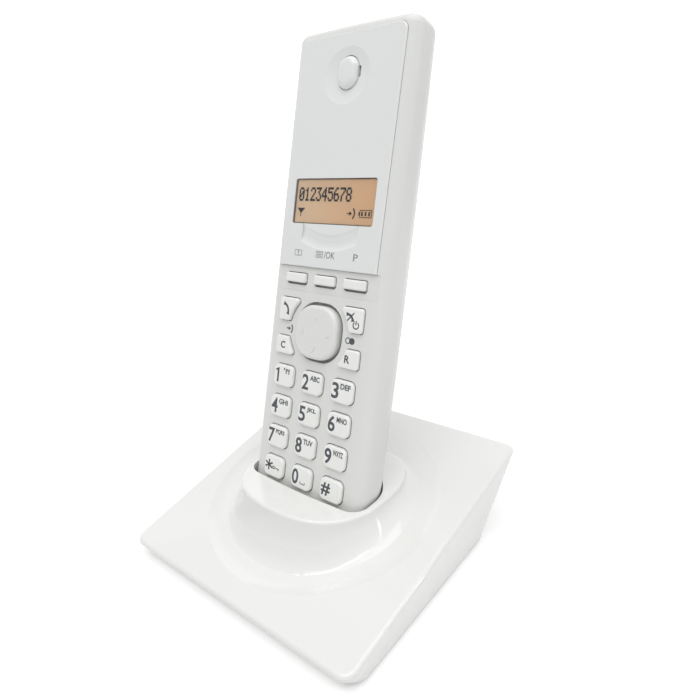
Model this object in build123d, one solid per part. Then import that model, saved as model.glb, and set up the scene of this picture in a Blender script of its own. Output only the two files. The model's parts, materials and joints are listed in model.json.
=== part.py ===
"""Cordless telephone handset standing in its base station.

World frame: +Z up, +Y towards the back, +X to the right seen from the front.
The origin is on the table, under the middle of the base.
The handset is modelled upright in its own frame and then leaned back into the base:
X is across it, Y is the depth behind its front face, and Z runs up from its bottom end.
"""

from build123d import *
from functools import lru_cache
from math import atan2, cos, hypot, pi, radians, sin, tan
import os

# ---------------------------------------------------------------- base housing, millimetres
BASE_DEPTH = 93.6
BASE_FRONT_WIDTH = 87.6
BASE_BACK_WIDTH = 96.8
BASE_FRONT_HEIGHT = 6.5
BASE_BACK_HEIGHT = 28.9
FRONT_CORNERS = 4.0
BACK_CORNERS = 2.6
FRONT_OVERHANG = 5.3
BACK_OVERHANG = 17.8
FOOTPRINT_FRONT_Y = FRONT_OVERHANG - BASE_DEPTH / 2
FOOTPRINT_BACK_Y = BASE_DEPTH / 2 - BACK_OVERHANG
SIDE_LEAN = 0.135
BASE_WALL = 2.0
PLATE_EDGE_ROUND = 1.1
SKIRT_Z = 0.8

# ---------------------------------------------------------------- collar and dish round the cradle
COLLAR_Y = -1.0
COLLAR_HALF_WIDTH = 25.4
COLLAR_SQUARENESS = 2.5
COLLAR_RIM_Z = 24.0
COLLAR_RIM_ROUND = 0.8
LEDGE_SLOPE = 0.05
DISH_RADIUS = BASE_DEPTH / 2 - 6.2
DISH_EDGE = 4.6
DISH_FLOOR_RADIUS = DISH_RADIUS - DISH_EDGE
DISH_DROP = 0.8
FLARE_FOOT_RADIUS = DISH_FLOOR_RADIUS - 1.5
FLARE_SINK = 0.2
FLARE_TURNS = (90, 68, 46, 24, 0)
CROWN_TURNS = (0, 40, 90)
OUTLINE_POINTS = 24

# ---------------------------------------------------------------- cradle pocket
HANDSET_TILT = 12.1
SEAT_Y = -15.0
SEAT_Z = 11.6
SEAT_GAP = 0.3
POCKET_GAP = 0.5
POCKET_FLARE = 0.02
POCKET_RELIEF = 0.08
POCKET_BACK_ROOM = 1.0
POCKET_REACH = 34.0
CUP_WALL = 1.8
PAD_WIDTH = 2.4
PAD_SPREAD = 12.6
PAD_FRONT = 5.5
PAD_BACK = 15.5

# ---------------------------------------------------------------- base fittings
FLOOR_THICKNESS = 2.0
FIT_GAP = 0.15
FOOT_RADIUS = 4.0
FOOT_INSET = 0.7
FOOT_ROUND = 0.4
FOOT_X = 27.0
FOOT_FRONT_Y = FOOTPRINT_FRONT_Y + 8.5
FOOT_BACK_Y = FOOTPRINT_BACK_Y - 9.0
VENT_SLOTS = 9
VENT_PITCH = 4.0
VENT_Y = FOOTPRINT_FRONT_Y + 19.5
VENT_LENGTH = 16.0
VENT_WIDTH = 1.6
BOARD_THICKNESS = 1.6
BOARD_WIDTH = 66.0
BOARD_FRONT_Y = 14.5
BOARD_BACK_Y = FOOTPRINT_BACK_Y - BASE_WALL
BOARD_STANDOFF = 1.6
PEG_RADIUS = 2.0
PEG_X = BOARD_WIDTH / 2 - 3.0
CAN_X = 0.0
CAN_LENGTH = 24.0
CAN_MARGIN = 1.2
CAN_RISE = 3.0
JACK_FACE_Y = FOOTPRINT_BACK_Y + 0.5
LINE_JACK_X = -24.0
LINE_JACK_WIDTH = 13.4
LINE_JACK_HEIGHT = 11.6
LINE_JACK_DEPTH = 11.5
LINE_SOCKET_WIDTH = 9.9
LINE_SOCKET_HEIGHT = 6.8
LINE_SOCKET_DEPTH = 9.0
LATCH_WIDTH = 6.0
LATCH_DEPTH = 1.2
POWER_JACK_X = -8.0
POWER_JACK_WIDTH = 9.0
POWER_JACK_HEIGHT = 11.0
POWER_JACK_DEPTH = 11.0
POWER_SOCKET_RADIUS = 3.1
POWER_PIN_RADIUS = 1.0
RECESS_WALL = 1.4
RECESS_ROOM = 1.0
RIB_ROWS = (FOOTPRINT_FRONT_Y + 11.5, 9.0)
RIB_THICKNESS = 1.2
RIB_Z = 7.5
PAGE_KEY_X = 22.0
PAGE_KEY_ALONG = 18.0
PAGE_KEY_WIDTH = 13.0
PAGE_KEY_HEIGHT = 6.0
PAGE_KEY_TRAVEL = 0.7
PAGE_KEY_PROUD = PAGE_KEY_TRAVEL + 0.2
PAGE_KEY_ROUND = 0.6
BOSS_RADIUS = 3.2
BOSS_X = BASE_FRONT_WIDTH / 2 - 6.8
BOSS_ROWS = (FOOTPRINT_FRONT_Y + 12.5, FOOTPRINT_BACK_Y - 7.0)
SCREW_RADIUS = 1.2
SCREW_SLACK = 0.05
SCREW_HEAD_RADIUS = 2.4
SCREW_HEAD_HEIGHT = 1.3
BASE_SCREW_LENGTH = 6.0
CONTACT_X = 6.6
CONTACT_DEPTH = 14.0
CONTACT_WIDTH = 3.0
CONTACT_STRIP = 0.4
CONTACT_CREST = 2.2
CONTACT_RAMP = 2.0
CONTACT_ARM = 11.5
CONTACT_TOUCH = 0.05
CONTACT_FLEX = 4.0
CONTACT_ROOM_ROUND = 0.5

# ---------------------------------------------------------------- handset housing
HANDSET_WIDTH = 46.0
FOOT_WIDTH = 45.0
HANDSET_LENGTH = 157.5
FRONT_CORNER = 4.6
SIDE_DEPTH = 8.0
THICK_BOTTOM = 22.5
THICK_MIDDLE = 25.0
THICK_SHOULDER = 24.4
THICK_TOP = 21.0
MIDDLE_AT = 46.0
SHOULDER_AT = 105.0
TOP_ROUND = 3.0
TOP_ARCH = 600.0
BOTTOM_ROUND = 4.2
HANDSET_WALL = 1.8
PARTING_DEPTH = 10.0
LAP_HEIGHT = 1.4
LAP_GAP = 0.1

# ---------------------------------------------------------------- fascia, display and earpiece
FASCIA_TOP_WIDTH = 39.6
FASCIA_BOTTOM_WIDTH = 38.0
FASCIA_BOTTOM = 82.5
FASCIA_TOP = 154.3
FASCIA_CORNER = 2.6
FASCIA_PROUD = 0.5
FASCIA_SEAT = 1.3
FASCIA_BACKING = 1.3
FASCIA_EDGE_ROUND = 0.45
BAND_BOTTOM = 74.5
BAND_DEPTH = 0.5
DISPLAY_WIDTH = 31.6
DISPLAY_HEIGHT = 14.2
DISPLAY_CORNER = 0.8
DISPLAY_AT = 103.3
LENS_SUNK = 0.2
LENS_GAP = 0.1
LCD_THICKNESS = 1.2
SCREEN_REST = 1.0
SCOOP_AT = 90.5
SCOOP_DEPTH = 0.7
SCOOP_RADIUS = 5.0
SCOOP_SPREAD = 22.0
SCOOP_REACH = 11.0
EARPIECE_AT = 141.2
EAR_DISH_RADIUS = 8.6
EAR_DISH_DEPTH = 1.3
EAR_CAP_AT = 142.2
EAR_CAP_WIDTH = 7.5
EAR_CAP_HEIGHT = 10.0
EAR_CAP_PROUD = 1.2
EAR_CAP_ROUND = 2.0
EAR_SLOT = 0.1
EAR_SLIT = 0.9
EAR_SLIT_HEIGHT = 3.4
EAR_PORT_RADIUS = 3.0
SPEAKER_RADIUS = 7.5
BASKET_SHARE = 0.5
POT_SHARE = 0.6

# ---------------------------------------------------------------- keys
KEY_GAP = 0.25
KEY_TRAVEL = 0.8
KEY_PROUD = 1.3
KEY_TOP_ROUND = 0.6
KEY_FLANGE = 0.6
KEY_FLANGE_THICKNESS = 0.7
KEY_SLACK = 0.15
PLUNGER_RADIUS = 1.2
DIGIT_PITCH_ACROSS = 12.0
DIGIT_PITCH_UP = 10.2
DIGIT_ROW_AT = 15.9
DIGIT_WIDTH = 8.3
DIGIT_HEIGHT = 7.0
DIGIT_CORNER = 1.8
SOFT_PITCH = 11.7
SOFT_AT = 78.8
SOFT_WIDTH = 8.2
SOFT_HEIGHT = 3.0
SOFT_CORNER = 0.6
SOFT_PROUD = 0.8
SOFT_SLOT = 0.45
NAV_AT = 62.6
NAV_WIDTH = 16.4
NAV_HEIGHT = 16.8
NAV_CORNER = 6.6
NAV_PROUD = 2.3
NAV_GAP = 1.0
NAV_FLANGE = NAV_GAP + 0.7
NAV_TILT = 3.0
NAV_SLACK = 0.25 + (NAV_HEIGHT / 2 + NAV_FLANGE) * tan(radians(NAV_TILT))
NAV_TOP_ROUND = 1.2
NAV_ARROWS = 4
NAV_ARROW_AT = 5.0
NAV_ARROW_RADIUS = 1.2
NAV_ARROW_RISE = 0.2
NAV_PAD_RADIUS = 3.0
NAV_PAD_GAP = 0.25
NAV_DOME_AT = 6.0
SIDE_KEY_INNER = 6.0
SIDE_KEY_OUTER = 16.6
SIDE_KEY_ARC = 12.1
SIDE_KEY_CORNER = 0.9
CALL_KEY_TOP = 72.1
CALL_KEY_BOTTOM = 64.6
SMALL_KEY_TOP = 59.5
SMALL_KEY_BOTTOM = 53.7

# ---------------------------------------------------------------- handset inside
BOARD_FRONT_DEPTH = 5.4
HANDSET_BOARD_THICKNESS = 1.2
HANDSET_BOARD_WIDTH = 37.0
HANDSET_BOARD_BOTTOM = 4.6
HANDSET_BOARD_TOP = 150.0
HANDSET_BOARD_CORNER = 1.5
SHIELD_AT = 27.0
SHIELD_WIDTH = 24.0
SHIELD_HEIGHT = 22.0
SHIELD_RISE = 2.5
SHIELD_CORNER = 1.0
SHEET_THICKNESS = 0.6
SHEET_WIDTH = 36.0
SHEET_MARGIN = 0.8
SHEET_CORNER = 2.0
DOME_HEIGHT = 0.45
DOME_RADIUS = 1.8
DOME_TAPER = 0.6
POST_SPREAD = 15.5
POST_ROWS = (122.0, 146.0)
POST_RADIUS = 1.6
MICROPHONE_AT = 7.0
MICROPHONE_RADIUS = 3.0
MICROPHONE_PORT_RADIUS = 0.6
CELL_RADIUS = 5.2
CELL_LENGTH = 44.5
CELL_BUTTON = 1.0
CELL_BUTTON_RADIUS = 1.9
CELL_EDGE = 0.5
CELL_SPACING = 11.0
CELL_DEPTH = 15.6
CELL_GAP = 0.4
CONTACT_ROOM = 3.5
SPRING_WIRE = 0.35
SPRING_RADIUS = 3.0
SPRING_TURNS = 3
TRAY_BOTTOM = 45.0
TRAY_TOP = 97.0
TRAY_WALL = 1.2
COVER_BOTTOM = 40.0
COVER_TOP = 102.0
COVER_WIDTH = 31.0
COVER_CORNER = 3.0
COVER_GAP = 0.25
COVER_LEDGE = 1.6
GRIP_GROOVES = 4
GRIP_FROM_TOP = 6.0
GRIP_PITCH = 2.2
GRIP_RADIUS = 0.7
GRIP_WIDTH = 12.0
RINGER_AT = 124.0
RINGER_RADIUS = 8.0
RINGER_THICKNESS = 3.0
RINGER_DEPTH = 15.0
RINGER_PORTS = 8
RINGER_PORT_SPREAD = 4.0
RINGER_PORT_RADIUS = 0.8
SCREW_AT = 7.6
SCREW_SPREAD = 13.5
SCREW_BOSS_RADIUS = 2.4
SCREW_CLEAR = 0.2
DRIVE_WIDTH = 0.6
DRIVE_SHARE = 0.7
WELL_WALL = 1.2
WELL_FLOOR = 2.0
TERMINAL_WIDTH = 4.4
TERMINAL_THICKNESS = 0.5
TERMINAL_REACH = 2.6
TAB_SHARE = 0.75

PLATE_SLOPE = atan2(BASE_BACK_HEIGHT - BASE_FRONT_HEIGHT, BASE_DEPTH)
DISH_SLOPE = PLATE_SLOPE + atan2(DISH_DROP, 2 * DISH_RADIUS)
POCKET_BELOW = CONTACT_STRIP + CONTACT_ARM * sin(radians(CONTACT_FLEX))
TILT = radians(HANDSET_TILT)
HANDSET_FRAME = Plane(origin=(0, SEAT_Y, SEAT_Z), x_dir=(1, 0, 0), z_dir=(0, sin(TILT), cos(TILT)))
FLANGE_FRONT = HANDSET_WALL + KEY_SLACK
FLANGE_BACK = FLANGE_FRONT + KEY_FLANGE_THICKNESS
SHEET_FRONT = BOARD_FRONT_DEPTH - SHEET_THICKNESS
DOME_FRONT = SHEET_FRONT - DOME_HEIGHT
BIG = 300.0


# ================================================================ shared helpers
def save(name, shape):
    """Writes one node and reports how many solids it holds."""
    solids = shape.solids()
    kept = solids[0] if len(solids) == 1 else Compound(children=list(solids))
    export_step(kept, f"parts/{name}.step")
    print(name, len(solids), round(sum(s.volume for s in solids), 1))


def in_base(shape):
    """Leans a piece of the handset back into the cradle."""
    return HANDSET_FRAME.location * shape


def slab(outline, front, back):
    """An outline seen from the front, extruded between two depths of the handset."""
    return extrude(Plane.XZ.offset(-back) * outline, back - front)


def block(x0, x1, y0, y1, z0, z1):
    """A box between two corners."""
    return Pos((x0 + x1) / 2, (y0 + y1) / 2, (z0 + z1) / 2) * Box(x1 - x0, y1 - y0, z1 - z0)


def upright(x, y, z0, z1, radius):
    """A vertical cylinder."""
    return Pos(x, y, (z0 + z1) / 2) * Cylinder(radius, z1 - z0)


def across(u, v, front, back, radius):
    """A cylinder along the handset's depth."""
    return slab(Pos(u, v) * Circle(radius), front, back)


# ================================================================ base station
def plate_height(y):
    """Height of the sloping top plate above the table."""
    return BASE_FRONT_HEIGHT + (y + BASE_DEPTH / 2) * tan(PLATE_SLOPE)


def side_profile(inset):
    """The wedge seen from the side, its walls drawn in and its open bottom kept at the skirt."""
    low = SKIRT_Z - inset
    front_run = FRONT_OVERHANG / (BASE_FRONT_HEIGHT - SKIRT_Z)
    back_run = BACK_OVERHANG / (BASE_BACK_HEIGHT - SKIRT_Z)
    points = [
        (FOOTPRINT_FRONT_Y + front_run * inset, low),
        (FOOTPRINT_BACK_Y - back_run * inset, low),
        (BASE_DEPTH / 2, BASE_BACK_HEIGHT),
        (-BASE_DEPTH / 2, BASE_FRONT_HEIGHT),
    ]
    face = make_face(Polyline(*points, close=True))
    return offset(face, amount=-inset, kind=Kind.INTERSECTION) if inset else face


def side_plane(side, inset):
    """A side wall: it spreads towards the back, and leans outwards as it rises."""
    spread = (BASE_BACK_WIDTH - BASE_FRONT_WIDTH) / 2 - SIDE_LEAN * (BASE_BACK_HEIGHT - BASE_FRONT_HEIGHT)
    spread /= BASE_DEPTH
    at_front = BASE_FRONT_WIDTH / 2 - SIDE_LEAN * BASE_FRONT_HEIGHT
    middle = at_front + spread * BASE_DEPTH / 2 - inset
    normal = (side, -spread, -SIDE_LEAN)
    return Plane(origin=(side * middle, 0, 0), z_dir=normal)


def base_block(inset):
    """The base's outer wedge, or the same wedge pulled in on every side but its open bottom."""
    wedge = extrude(Plane.YZ * side_profile(inset), BASE_BACK_WIDTH, both=True)
    for side in (-1, 1):
        wedge = split(wedge, bisect_by=side_plane(side, inset), keep=Keep.BOTTOM)
    for radius, end in ((FRONT_CORNERS, 0), (BACK_CORNERS, -1)):
        uprights = wedge.edges().filter_by(lambda e: abs(e.tangent_at(0.5).Z) > 0.5)
        wedge = fillet(uprights.group_by(Axis.Y)[end], max(radius - inset, radius / 4))
    return wedge


def dish_frame():
    """Plane that meets the top plate at the dish's front and rises off it, so the dish fades out."""
    front = DISH_RADIUS * cos(PLATE_SLOPE)
    middle = plate_height(-front) + front * tan(DISH_SLOPE)
    return Plane(origin=(0, 0, middle), x_dir=(1, 0, 0), z_dir=(0, -sin(DISH_SLOPE), cos(DISH_SLOPE)))


def dish_carving():
    """A shallow round dish in the top plate, whose edge rises to a crisp circle."""
    floor = Line((0, -DISH_DROP), (DISH_FLOOR_RADIUS, -DISH_DROP))
    rise = TangentArc((DISH_FLOOR_RADIUS, -DISH_DROP), (DISH_RADIUS, 0), tangent=(1, 0))
    rim = Polyline((DISH_RADIUS, 0), (DISH_RADIUS, DISH_EDGE), (0, DISH_EDGE), (0, -DISH_DROP))
    profile = make_face([floor, rise, *rim.edges()])
    return dish_frame().location * revolve(Plane.XZ * profile, Axis.Z)


def rim_point(angle, inset):
    """A point of the collar's rim, which is a circle drawn out towards a square."""
    c, s = cos(angle), sin(angle)
    power = COLLAR_SQUARENESS
    reach = (COLLAR_HALF_WIDTH - inset) / (abs(c) ** power + abs(s) ** power) ** (1 / power)
    return reach * c, COLLAR_Y + reach * s


def closed_section(points, height, slope):
    """A smooth closed outline on a plane that rises towards the back by the given slope."""
    lifted = [(x, y, height + slope * y) for x, y in points]
    return make_face(Spline(*lifted, periodic=True))


def outline_angles():
    return [2 * pi * (i + 0.5) / OUTLINE_POINTS for i in range(OUTLINE_POINTS)]


def flare_section(turn):
    """One level of the flare: a quarter ellipse from the dish floor (90) to the upright rim (0)."""
    near, down = cos(turn), sin(turn)
    points = []
    for angle in outline_angles():
        x, y = rim_point(angle, 0)
        far_x = FLARE_FOOT_RADIUS * cos(angle)
        far_y = FLARE_FOOT_RADIUS * sin(angle) * cos(DISH_SLOPE)
        points.append((far_x + (x - far_x) * near, far_y + (y - far_y) * near))
    rim_z = COLLAR_RIM_Z - COLLAR_RIM_ROUND
    floor_z = dish_frame().origin.Z - (DISH_DROP + FLARE_SINK) / cos(DISH_SLOPE)
    return closed_section(points, rim_z + (floor_z - rim_z) * down, tan(DISH_SLOPE) * down)


def crown_section(turn):
    """One level of the rounding over the rim's top."""
    inset = COLLAR_RIM_ROUND * (1 - cos(turn))
    points = [rim_point(angle, inset) for angle in outline_angles()]
    return closed_section(points, COLLAR_RIM_Z - COLLAR_RIM_ROUND * (1 - sin(turn)), 0)


def collar():
    """The volcano-shaped collar that rises out of the dish to a level rim."""
    flare = [flare_section(radians(turn)) for turn in FLARE_TURNS]
    crown = [crown_section(radians(turn)) for turn in CROWN_TURNS]
    return loft(flare) + loft(crown)


def collar_core(top):
    """The space under the collar's steep wall."""
    inset = BASE_WALL + COLLAR_RIM_ROUND
    outline = closed_section([rim_point(angle, inset) for angle in outline_angles()], SKIRT_Z, 0)
    return extrude(outline, top - SKIRT_Z)


def ledge_dish():
    """The collar's top slopes gently inwards to the pocket."""
    radius = COLLAR_HALF_WIDTH - COLLAR_RIM_ROUND
    cone = Cone(0.001, radius, radius * LEDGE_SLOPE, align=(Align.CENTER, Align.CENTER, Align.MAX))
    return Pos(0, COLLAR_Y, COLLAR_RIM_Z) * cone


def pocket_section(v, below, grow):
    """The handset's section made larger, and opened further towards the front as it rises."""
    relief = POCKET_RELIEF * (v + below)
    spread = grow + POCKET_FLARE * (v + below)
    outline = handset_outline(v, thickness_at(v) + relief + POCKET_BACK_ROOM, spread)
    return Plane.XY.offset(v) * (Pos(0, -relief) * outline)


def pocket(extra, below):
    """The cradle's pocket: close round the handset's foot and open in front of its keys."""
    grow = POCKET_GAP + extra
    levels = (-below, POCKET_REACH)
    return in_base(loft([pocket_section(v, below, grow) for v in levels], ruled=True))


def boss_places():
    """Where the base's four screws stand."""
    return [(side * BOSS_X, y) for side in (-1, 1) for y in BOSS_ROWS]


def recess_box(grow):
    """The hooded recess in the back wall that the two jacks look out of."""
    left = LINE_JACK_X - LINE_JACK_WIDTH / 2 - RECESS_ROOM
    right = POWER_JACK_X + POWER_JACK_WIDTH / 2 + RECESS_ROOM
    top = board_top() + LINE_JACK_HEIGHT + RECESS_ROOM
    return block(left - grow, right + grow, JACK_FACE_Y - grow, BASE_DEPTH, -1, top + grow)


def board_top():
    """Top face of the base's circuit board."""
    return SKIRT_Z + FLOOR_THICKNESS + BOARD_STANDOFF + BOARD_THICKNESS


def jack_block(x, width, height, depth, grow):
    """Body of a jack that stands on the board and faces out of the recess."""
    low = board_top() - grow
    back = JACK_FACE_Y - depth - grow
    return block(x - width / 2 - grow, x + width / 2 + grow, back, JACK_FACE_Y, low, board_top() + height + grow)


def line_jack_block(grow):
    return jack_block(LINE_JACK_X, LINE_JACK_WIDTH, LINE_JACK_HEIGHT, LINE_JACK_DEPTH, grow)


def power_jack_block(grow):
    return jack_block(POWER_JACK_X, POWER_JACK_WIDTH, POWER_JACK_HEIGHT, POWER_JACK_DEPTH, grow)


def page_key_frame():
    """Plane on the sloping back wall, at the page key, facing out of the base."""
    run = BASE_DEPTH / 2 - FOOTPRINT_BACK_Y
    rise = BASE_BACK_HEIGHT - SKIRT_Z
    length = hypot(run, rise)
    along = (run / length, rise / length)
    origin = (
        PAGE_KEY_X,
        FOOTPRINT_BACK_Y + along[0] * PAGE_KEY_ALONG,
        SKIRT_Z + along[1] * PAGE_KEY_ALONG,
    )
    return Plane(origin=origin, x_dir=(-1, 0, 0), z_dir=(0, along[1], -along[0]))


def page_key_outline(grow):
    return SlotOverall(PAGE_KEY_WIDTH + 2 * grow, PAGE_KEY_HEIGHT + 2 * grow)


def contact_slot(side):
    """Slot in the cup's floor that a charging contact rises through."""
    half = CONTACT_WIDTH / 2 + CONTACT_ROOM_ROUND
    front = CONTACT_DEPTH - CONTACT_CREST - CONTACT_RAMP - CONTACT_ROOM_ROUND
    back = CONTACT_DEPTH + CONTACT_CREST + CONTACT_ROOM_ROUND
    low = -POCKET_BELOW - CUP_WALL - 1
    x = side * CONTACT_X
    return in_base(block(x - half, x + half, front, back, low, -SEAT_GAP))


def base_top_housing():
    """Wedge-shaped cover with its flared collar, the cup for the handset, bosses and ribs."""
    outer = base_block(0)
    plate = [f for f in outer.faces() if f.normal_at().Z > 0.9]
    top_edges = plate[0].outer_wire().edges()
    outer = fillet(top_edges, PLATE_EDGE_ROUND)
    body = outer - dish_carving() + collar() - ledge_dish()

    hollow = base_block(BASE_WALL)
    core_top = COLLAR_RIM_Z - LEDGE_SLOPE * COLLAR_HALF_WIDTH / 2 - BASE_WALL
    hollow += collar_core(core_top)
    hollow -= pocket(CUP_WALL, POCKET_BELOW + CUP_WALL)
    floor_top = SKIRT_Z + FLOOR_THICKNESS
    for x, y in boss_places():
        hollow -= upright(x, y, floor_top, BASE_BACK_HEIGHT * 2, BOSS_RADIUS)
    body -= hollow

    inside = base_block(BASE_WALL / 2)
    for y in RIB_ROWS:
        rib = block(-BASE_BACK_WIDTH, BASE_BACK_WIDTH, y, y + RIB_THICKNESS, RIB_Z, BASE_DEPTH)
        body += rib & inside
    body += recess_box(RECESS_WALL) & inside
    body -= pocket(0, POCKET_BELOW)
    body -= recess_box(0)
    for jack in (line_jack_block(FIT_GAP), power_jack_block(FIT_GAP)):
        body -= jack
    for x, y in boss_places():
        body -= upright(x, y, floor_top - 1, floor_top + BASE_SCREW_LENGTH, SCREW_RADIUS + SCREW_SLACK)
    body -= extrude(page_key_frame() * page_key_outline(KEY_GAP), PAGE_KEY_HEIGHT, both=True)
    root = -POCKET_BELOW - CUP_WALL / 2
    for x in (-PAD_SPREAD, 0, PAD_SPREAD):
        low_pad = block(x - PAD_WIDTH / 2, x + PAD_WIDTH / 2, PAD_FRONT, PAD_BACK, root, -SEAT_GAP)
        body += in_base(low_pad)
    for side in (-1, 1):
        body -= contact_slot(side)
    return body.solids().sort_by(SortBy.VOLUME)[-1]


# ================================================================ handset
def between(v, stations):
    """Straight-line value between the two stations that a height lies between."""
    for (low, at_low), (high, at_high) in zip(stations, stations[1:]):
        if v <= high:
            break
    return at_low + (at_high - at_low) * (v - low) / (high - low)


def thickness_at(v):
    """How thick the handset is at a height."""
    stations = [(0, THICK_BOTTOM), (MIDDLE_AT, THICK_MIDDLE), (SHOULDER_AT, THICK_SHOULDER)]
    return between(v, stations + [(HANDSET_LENGTH, THICK_TOP)])


def handset_outline(v, thickness, grow=0.0):
    """Cross-section: flat front with round corners, straight sides, and a half-elliptical back."""
    half = between(v, [(0, FOOT_WIDTH / 2), (HANDSET_LENGTH, HANDSET_WIDTH / 2)]) + grow
    corner = max(FRONT_CORNER + grow, FRONT_CORNER / 4)
    front = -grow
    edges = [
        Line((-half + corner, front), (half - corner, front)),
        CenterArc((half - corner, front + corner), corner, -90, 90),
        Line((half, front + corner), (half, SIDE_DEPTH)),
        EllipticalCenterArc((0, SIDE_DEPTH), half, thickness + grow - SIDE_DEPTH, arc_size=180),
        Line((-half, SIDE_DEPTH), (-half, front + corner)),
        CenterArc((-half + corner, front + corner), corner, 180, 90),
    ]
    return make_face(edges)


@lru_cache(maxsize=None)
def handset_form(inset=0.0):
    """The handset's whole form, or the same form pulled in all round."""
    levels = (inset, MIDDLE_AT, SHOULDER_AT, HANDSET_LENGTH - inset)
    sections = [Plane.XY.offset(v) * handset_outline(v, thickness_at(v), -inset) for v in levels]
    form = loft(sections)
    arch = Pos(0, 0, HANDSET_LENGTH - inset - TOP_ARCH) * Rot(90, 0, 0) * Cylinder(TOP_ARCH, BIG)
    form &= arch + block(-BIG, BIG, -BIG, BIG, -BIG, HANDSET_LENGTH / 2)
    top = form.faces().sort_by(Axis.Z)[-1].edges()
    form = fillet(top, max(TOP_ROUND - inset, TOP_ROUND / 4))
    bottom = form.faces().sort_by(Axis.Z)[0].edges()
    return fillet(bottom, max(BOTTOM_ROUND - inset, BOTTOM_ROUND / 4))


def shell_between(outer_inset, inner_inset):
    """A skin of the handset's form, between two depths under its surface."""
    return handset_form(outer_inset) - handset_form(inner_inset)


def in_front_of(depth):
    return block(-BIG, BIG, -BIG, depth, -BIG, BIG)


def behind(depth):
    return block(-BIG, BIG, depth, BIG, -BIG, BIG)


def fascia_outline(grow=0.0):
    """The glossy panel: a little narrower at its bottom, with rounded top corners."""
    points = [
        (-FASCIA_BOTTOM_WIDTH / 2, FASCIA_BOTTOM),
        (FASCIA_BOTTOM_WIDTH / 2, FASCIA_BOTTOM),
        (FASCIA_TOP_WIDTH / 2, FASCIA_TOP),
        (-FASCIA_TOP_WIDTH / 2, FASCIA_TOP),
    ]
    face = make_face(Polyline(*points, close=True))
    face = fillet(face.vertices().group_by(Axis.Y)[-1], FASCIA_CORNER)
    return offset(face, amount=grow, kind=Kind.INTERSECTION) if grow else face


def display_outline(grow=0.0):
    return Pos(0, DISPLAY_AT) * RectangleRounded(DISPLAY_WIDTH + 2 * grow, DISPLAY_HEIGHT + 2 * grow, DISPLAY_CORNER)


def ear_cap_outline(grow=0.0):
    pill = SlotOverall(EAR_CAP_HEIGHT + 2 * grow, EAR_CAP_WIDTH + 2 * grow)
    return Pos(0, EAR_CAP_AT) * Rot(0, 0, 90) * pill


def nav_outline(grow=0.0):
    width, height = NAV_WIDTH + 2 * grow, NAV_HEIGHT + 2 * grow
    return Pos(0, NAV_AT) * RectangleRounded(width, height, NAV_CORNER + grow)


def rectangle_key_outline(u, v, width, height, corner, grow):
    return Pos(u, v) * RectangleRounded(width + 2 * grow, height + 2 * grow, corner + grow)


def side_key_outline(side, low, high, grow):
    """A key beside the navigation key, whose inner edge is cut by an arc about it."""
    inner = SIDE_KEY_INNER
    middle = Pos(side * (inner + SIDE_KEY_OUTER) / 2, (low + high) / 2)
    face = middle * Rectangle(SIDE_KEY_OUTER - inner, high - low) - Pos(0, NAV_AT) * Circle(SIDE_KEY_ARC)
    core = offset(face, amount=-SIDE_KEY_CORNER, kind=Kind.INTERSECTION)
    return offset(core, amount=SIDE_KEY_CORNER + grow)


def key_plan():
    """Every pressed key: its name, its outline grown by a margin, and how far it stands proud."""
    plan = {}
    names = ["key_star", "key_0", "key_hash"]
    names += [f"key_{n}" for n in (7, 8, 9, 4, 5, 6, 1, 2, 3)]
    for i, name in enumerate(names):
        u = (i % 3 - 1) * DIGIT_PITCH_ACROSS
        v = DIGIT_ROW_AT + (i // 3) * DIGIT_PITCH_UP
        size = (DIGIT_WIDTH, DIGIT_HEIGHT, DIGIT_CORNER)
        plan[name] = (lambda g, u=u, v=v, size=size: rectangle_key_outline(u, v, *size, g), KEY_PROUD)
    for i, name in enumerate(("soft_key_left", "soft_key_centre", "soft_key_right")):
        u = (i - 1) * SOFT_PITCH
        size = (SOFT_WIDTH, SOFT_HEIGHT, SOFT_CORNER)
        plan[name] = (lambda g, u=u, size=size: rectangle_key_outline(u, SOFT_AT, *size, g), SOFT_PROUD)
    rows = {
        "talk_key": (-1, CALL_KEY_BOTTOM, CALL_KEY_TOP),
        "off_key": (1, CALL_KEY_BOTTOM, CALL_KEY_TOP),
        "clear_key": (-1, SMALL_KEY_BOTTOM, SMALL_KEY_TOP),
        "recall_key": (1, SMALL_KEY_BOTTOM, SMALL_KEY_TOP),
    }
    for name, place in rows.items():
        plan[name] = (lambda g, place=place: side_key_outline(*place, g), KEY_PROUD)
    return plan


def key_cap(outline, proud):
    """A key: rounded top, a flange that the shell holds back, and a plunger over its dome."""
    top = slab(outline(0), -proud, FLANGE_FRONT)
    front_edges = top.faces().sort_by(Axis.Y)[0].edges()
    top = fillet(front_edges, KEY_TOP_ROUND)
    flange = slab(outline(KEY_FLANGE), FLANGE_FRONT, FLANGE_BACK)
    middle = outline(0).center()
    reach = DOME_FRONT - KEY_TRAVEL - KEY_SLACK
    return top + flange + across(middle.X, middle.Y, FLANGE_BACK, reach, PLUNGER_RADIUS)


def nav_key():
    """The four-way key: a domed rounded square with an embossed arrow towards each side."""
    back = FLANGE_FRONT + NAV_SLACK
    top = slab(nav_outline(), -NAV_PROUD, back)
    top = fillet(top.faces().sort_by(Axis.Y)[0].edges(), NAV_TOP_ROUND)
    key = top + slab(nav_outline(NAV_FLANGE), back, back + KEY_FLANGE_THICKNESS)
    for place in PolarLocations(NAV_ARROW_AT, NAV_ARROWS):
        arrow = Pos(0, NAV_AT) * place * RegularPolygon(NAV_ARROW_RADIUS, 3)
        key += slab(arrow, -NAV_PROUD - NAV_ARROW_RISE, -NAV_PROUD + NAV_ARROW_RISE)
    return key


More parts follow.
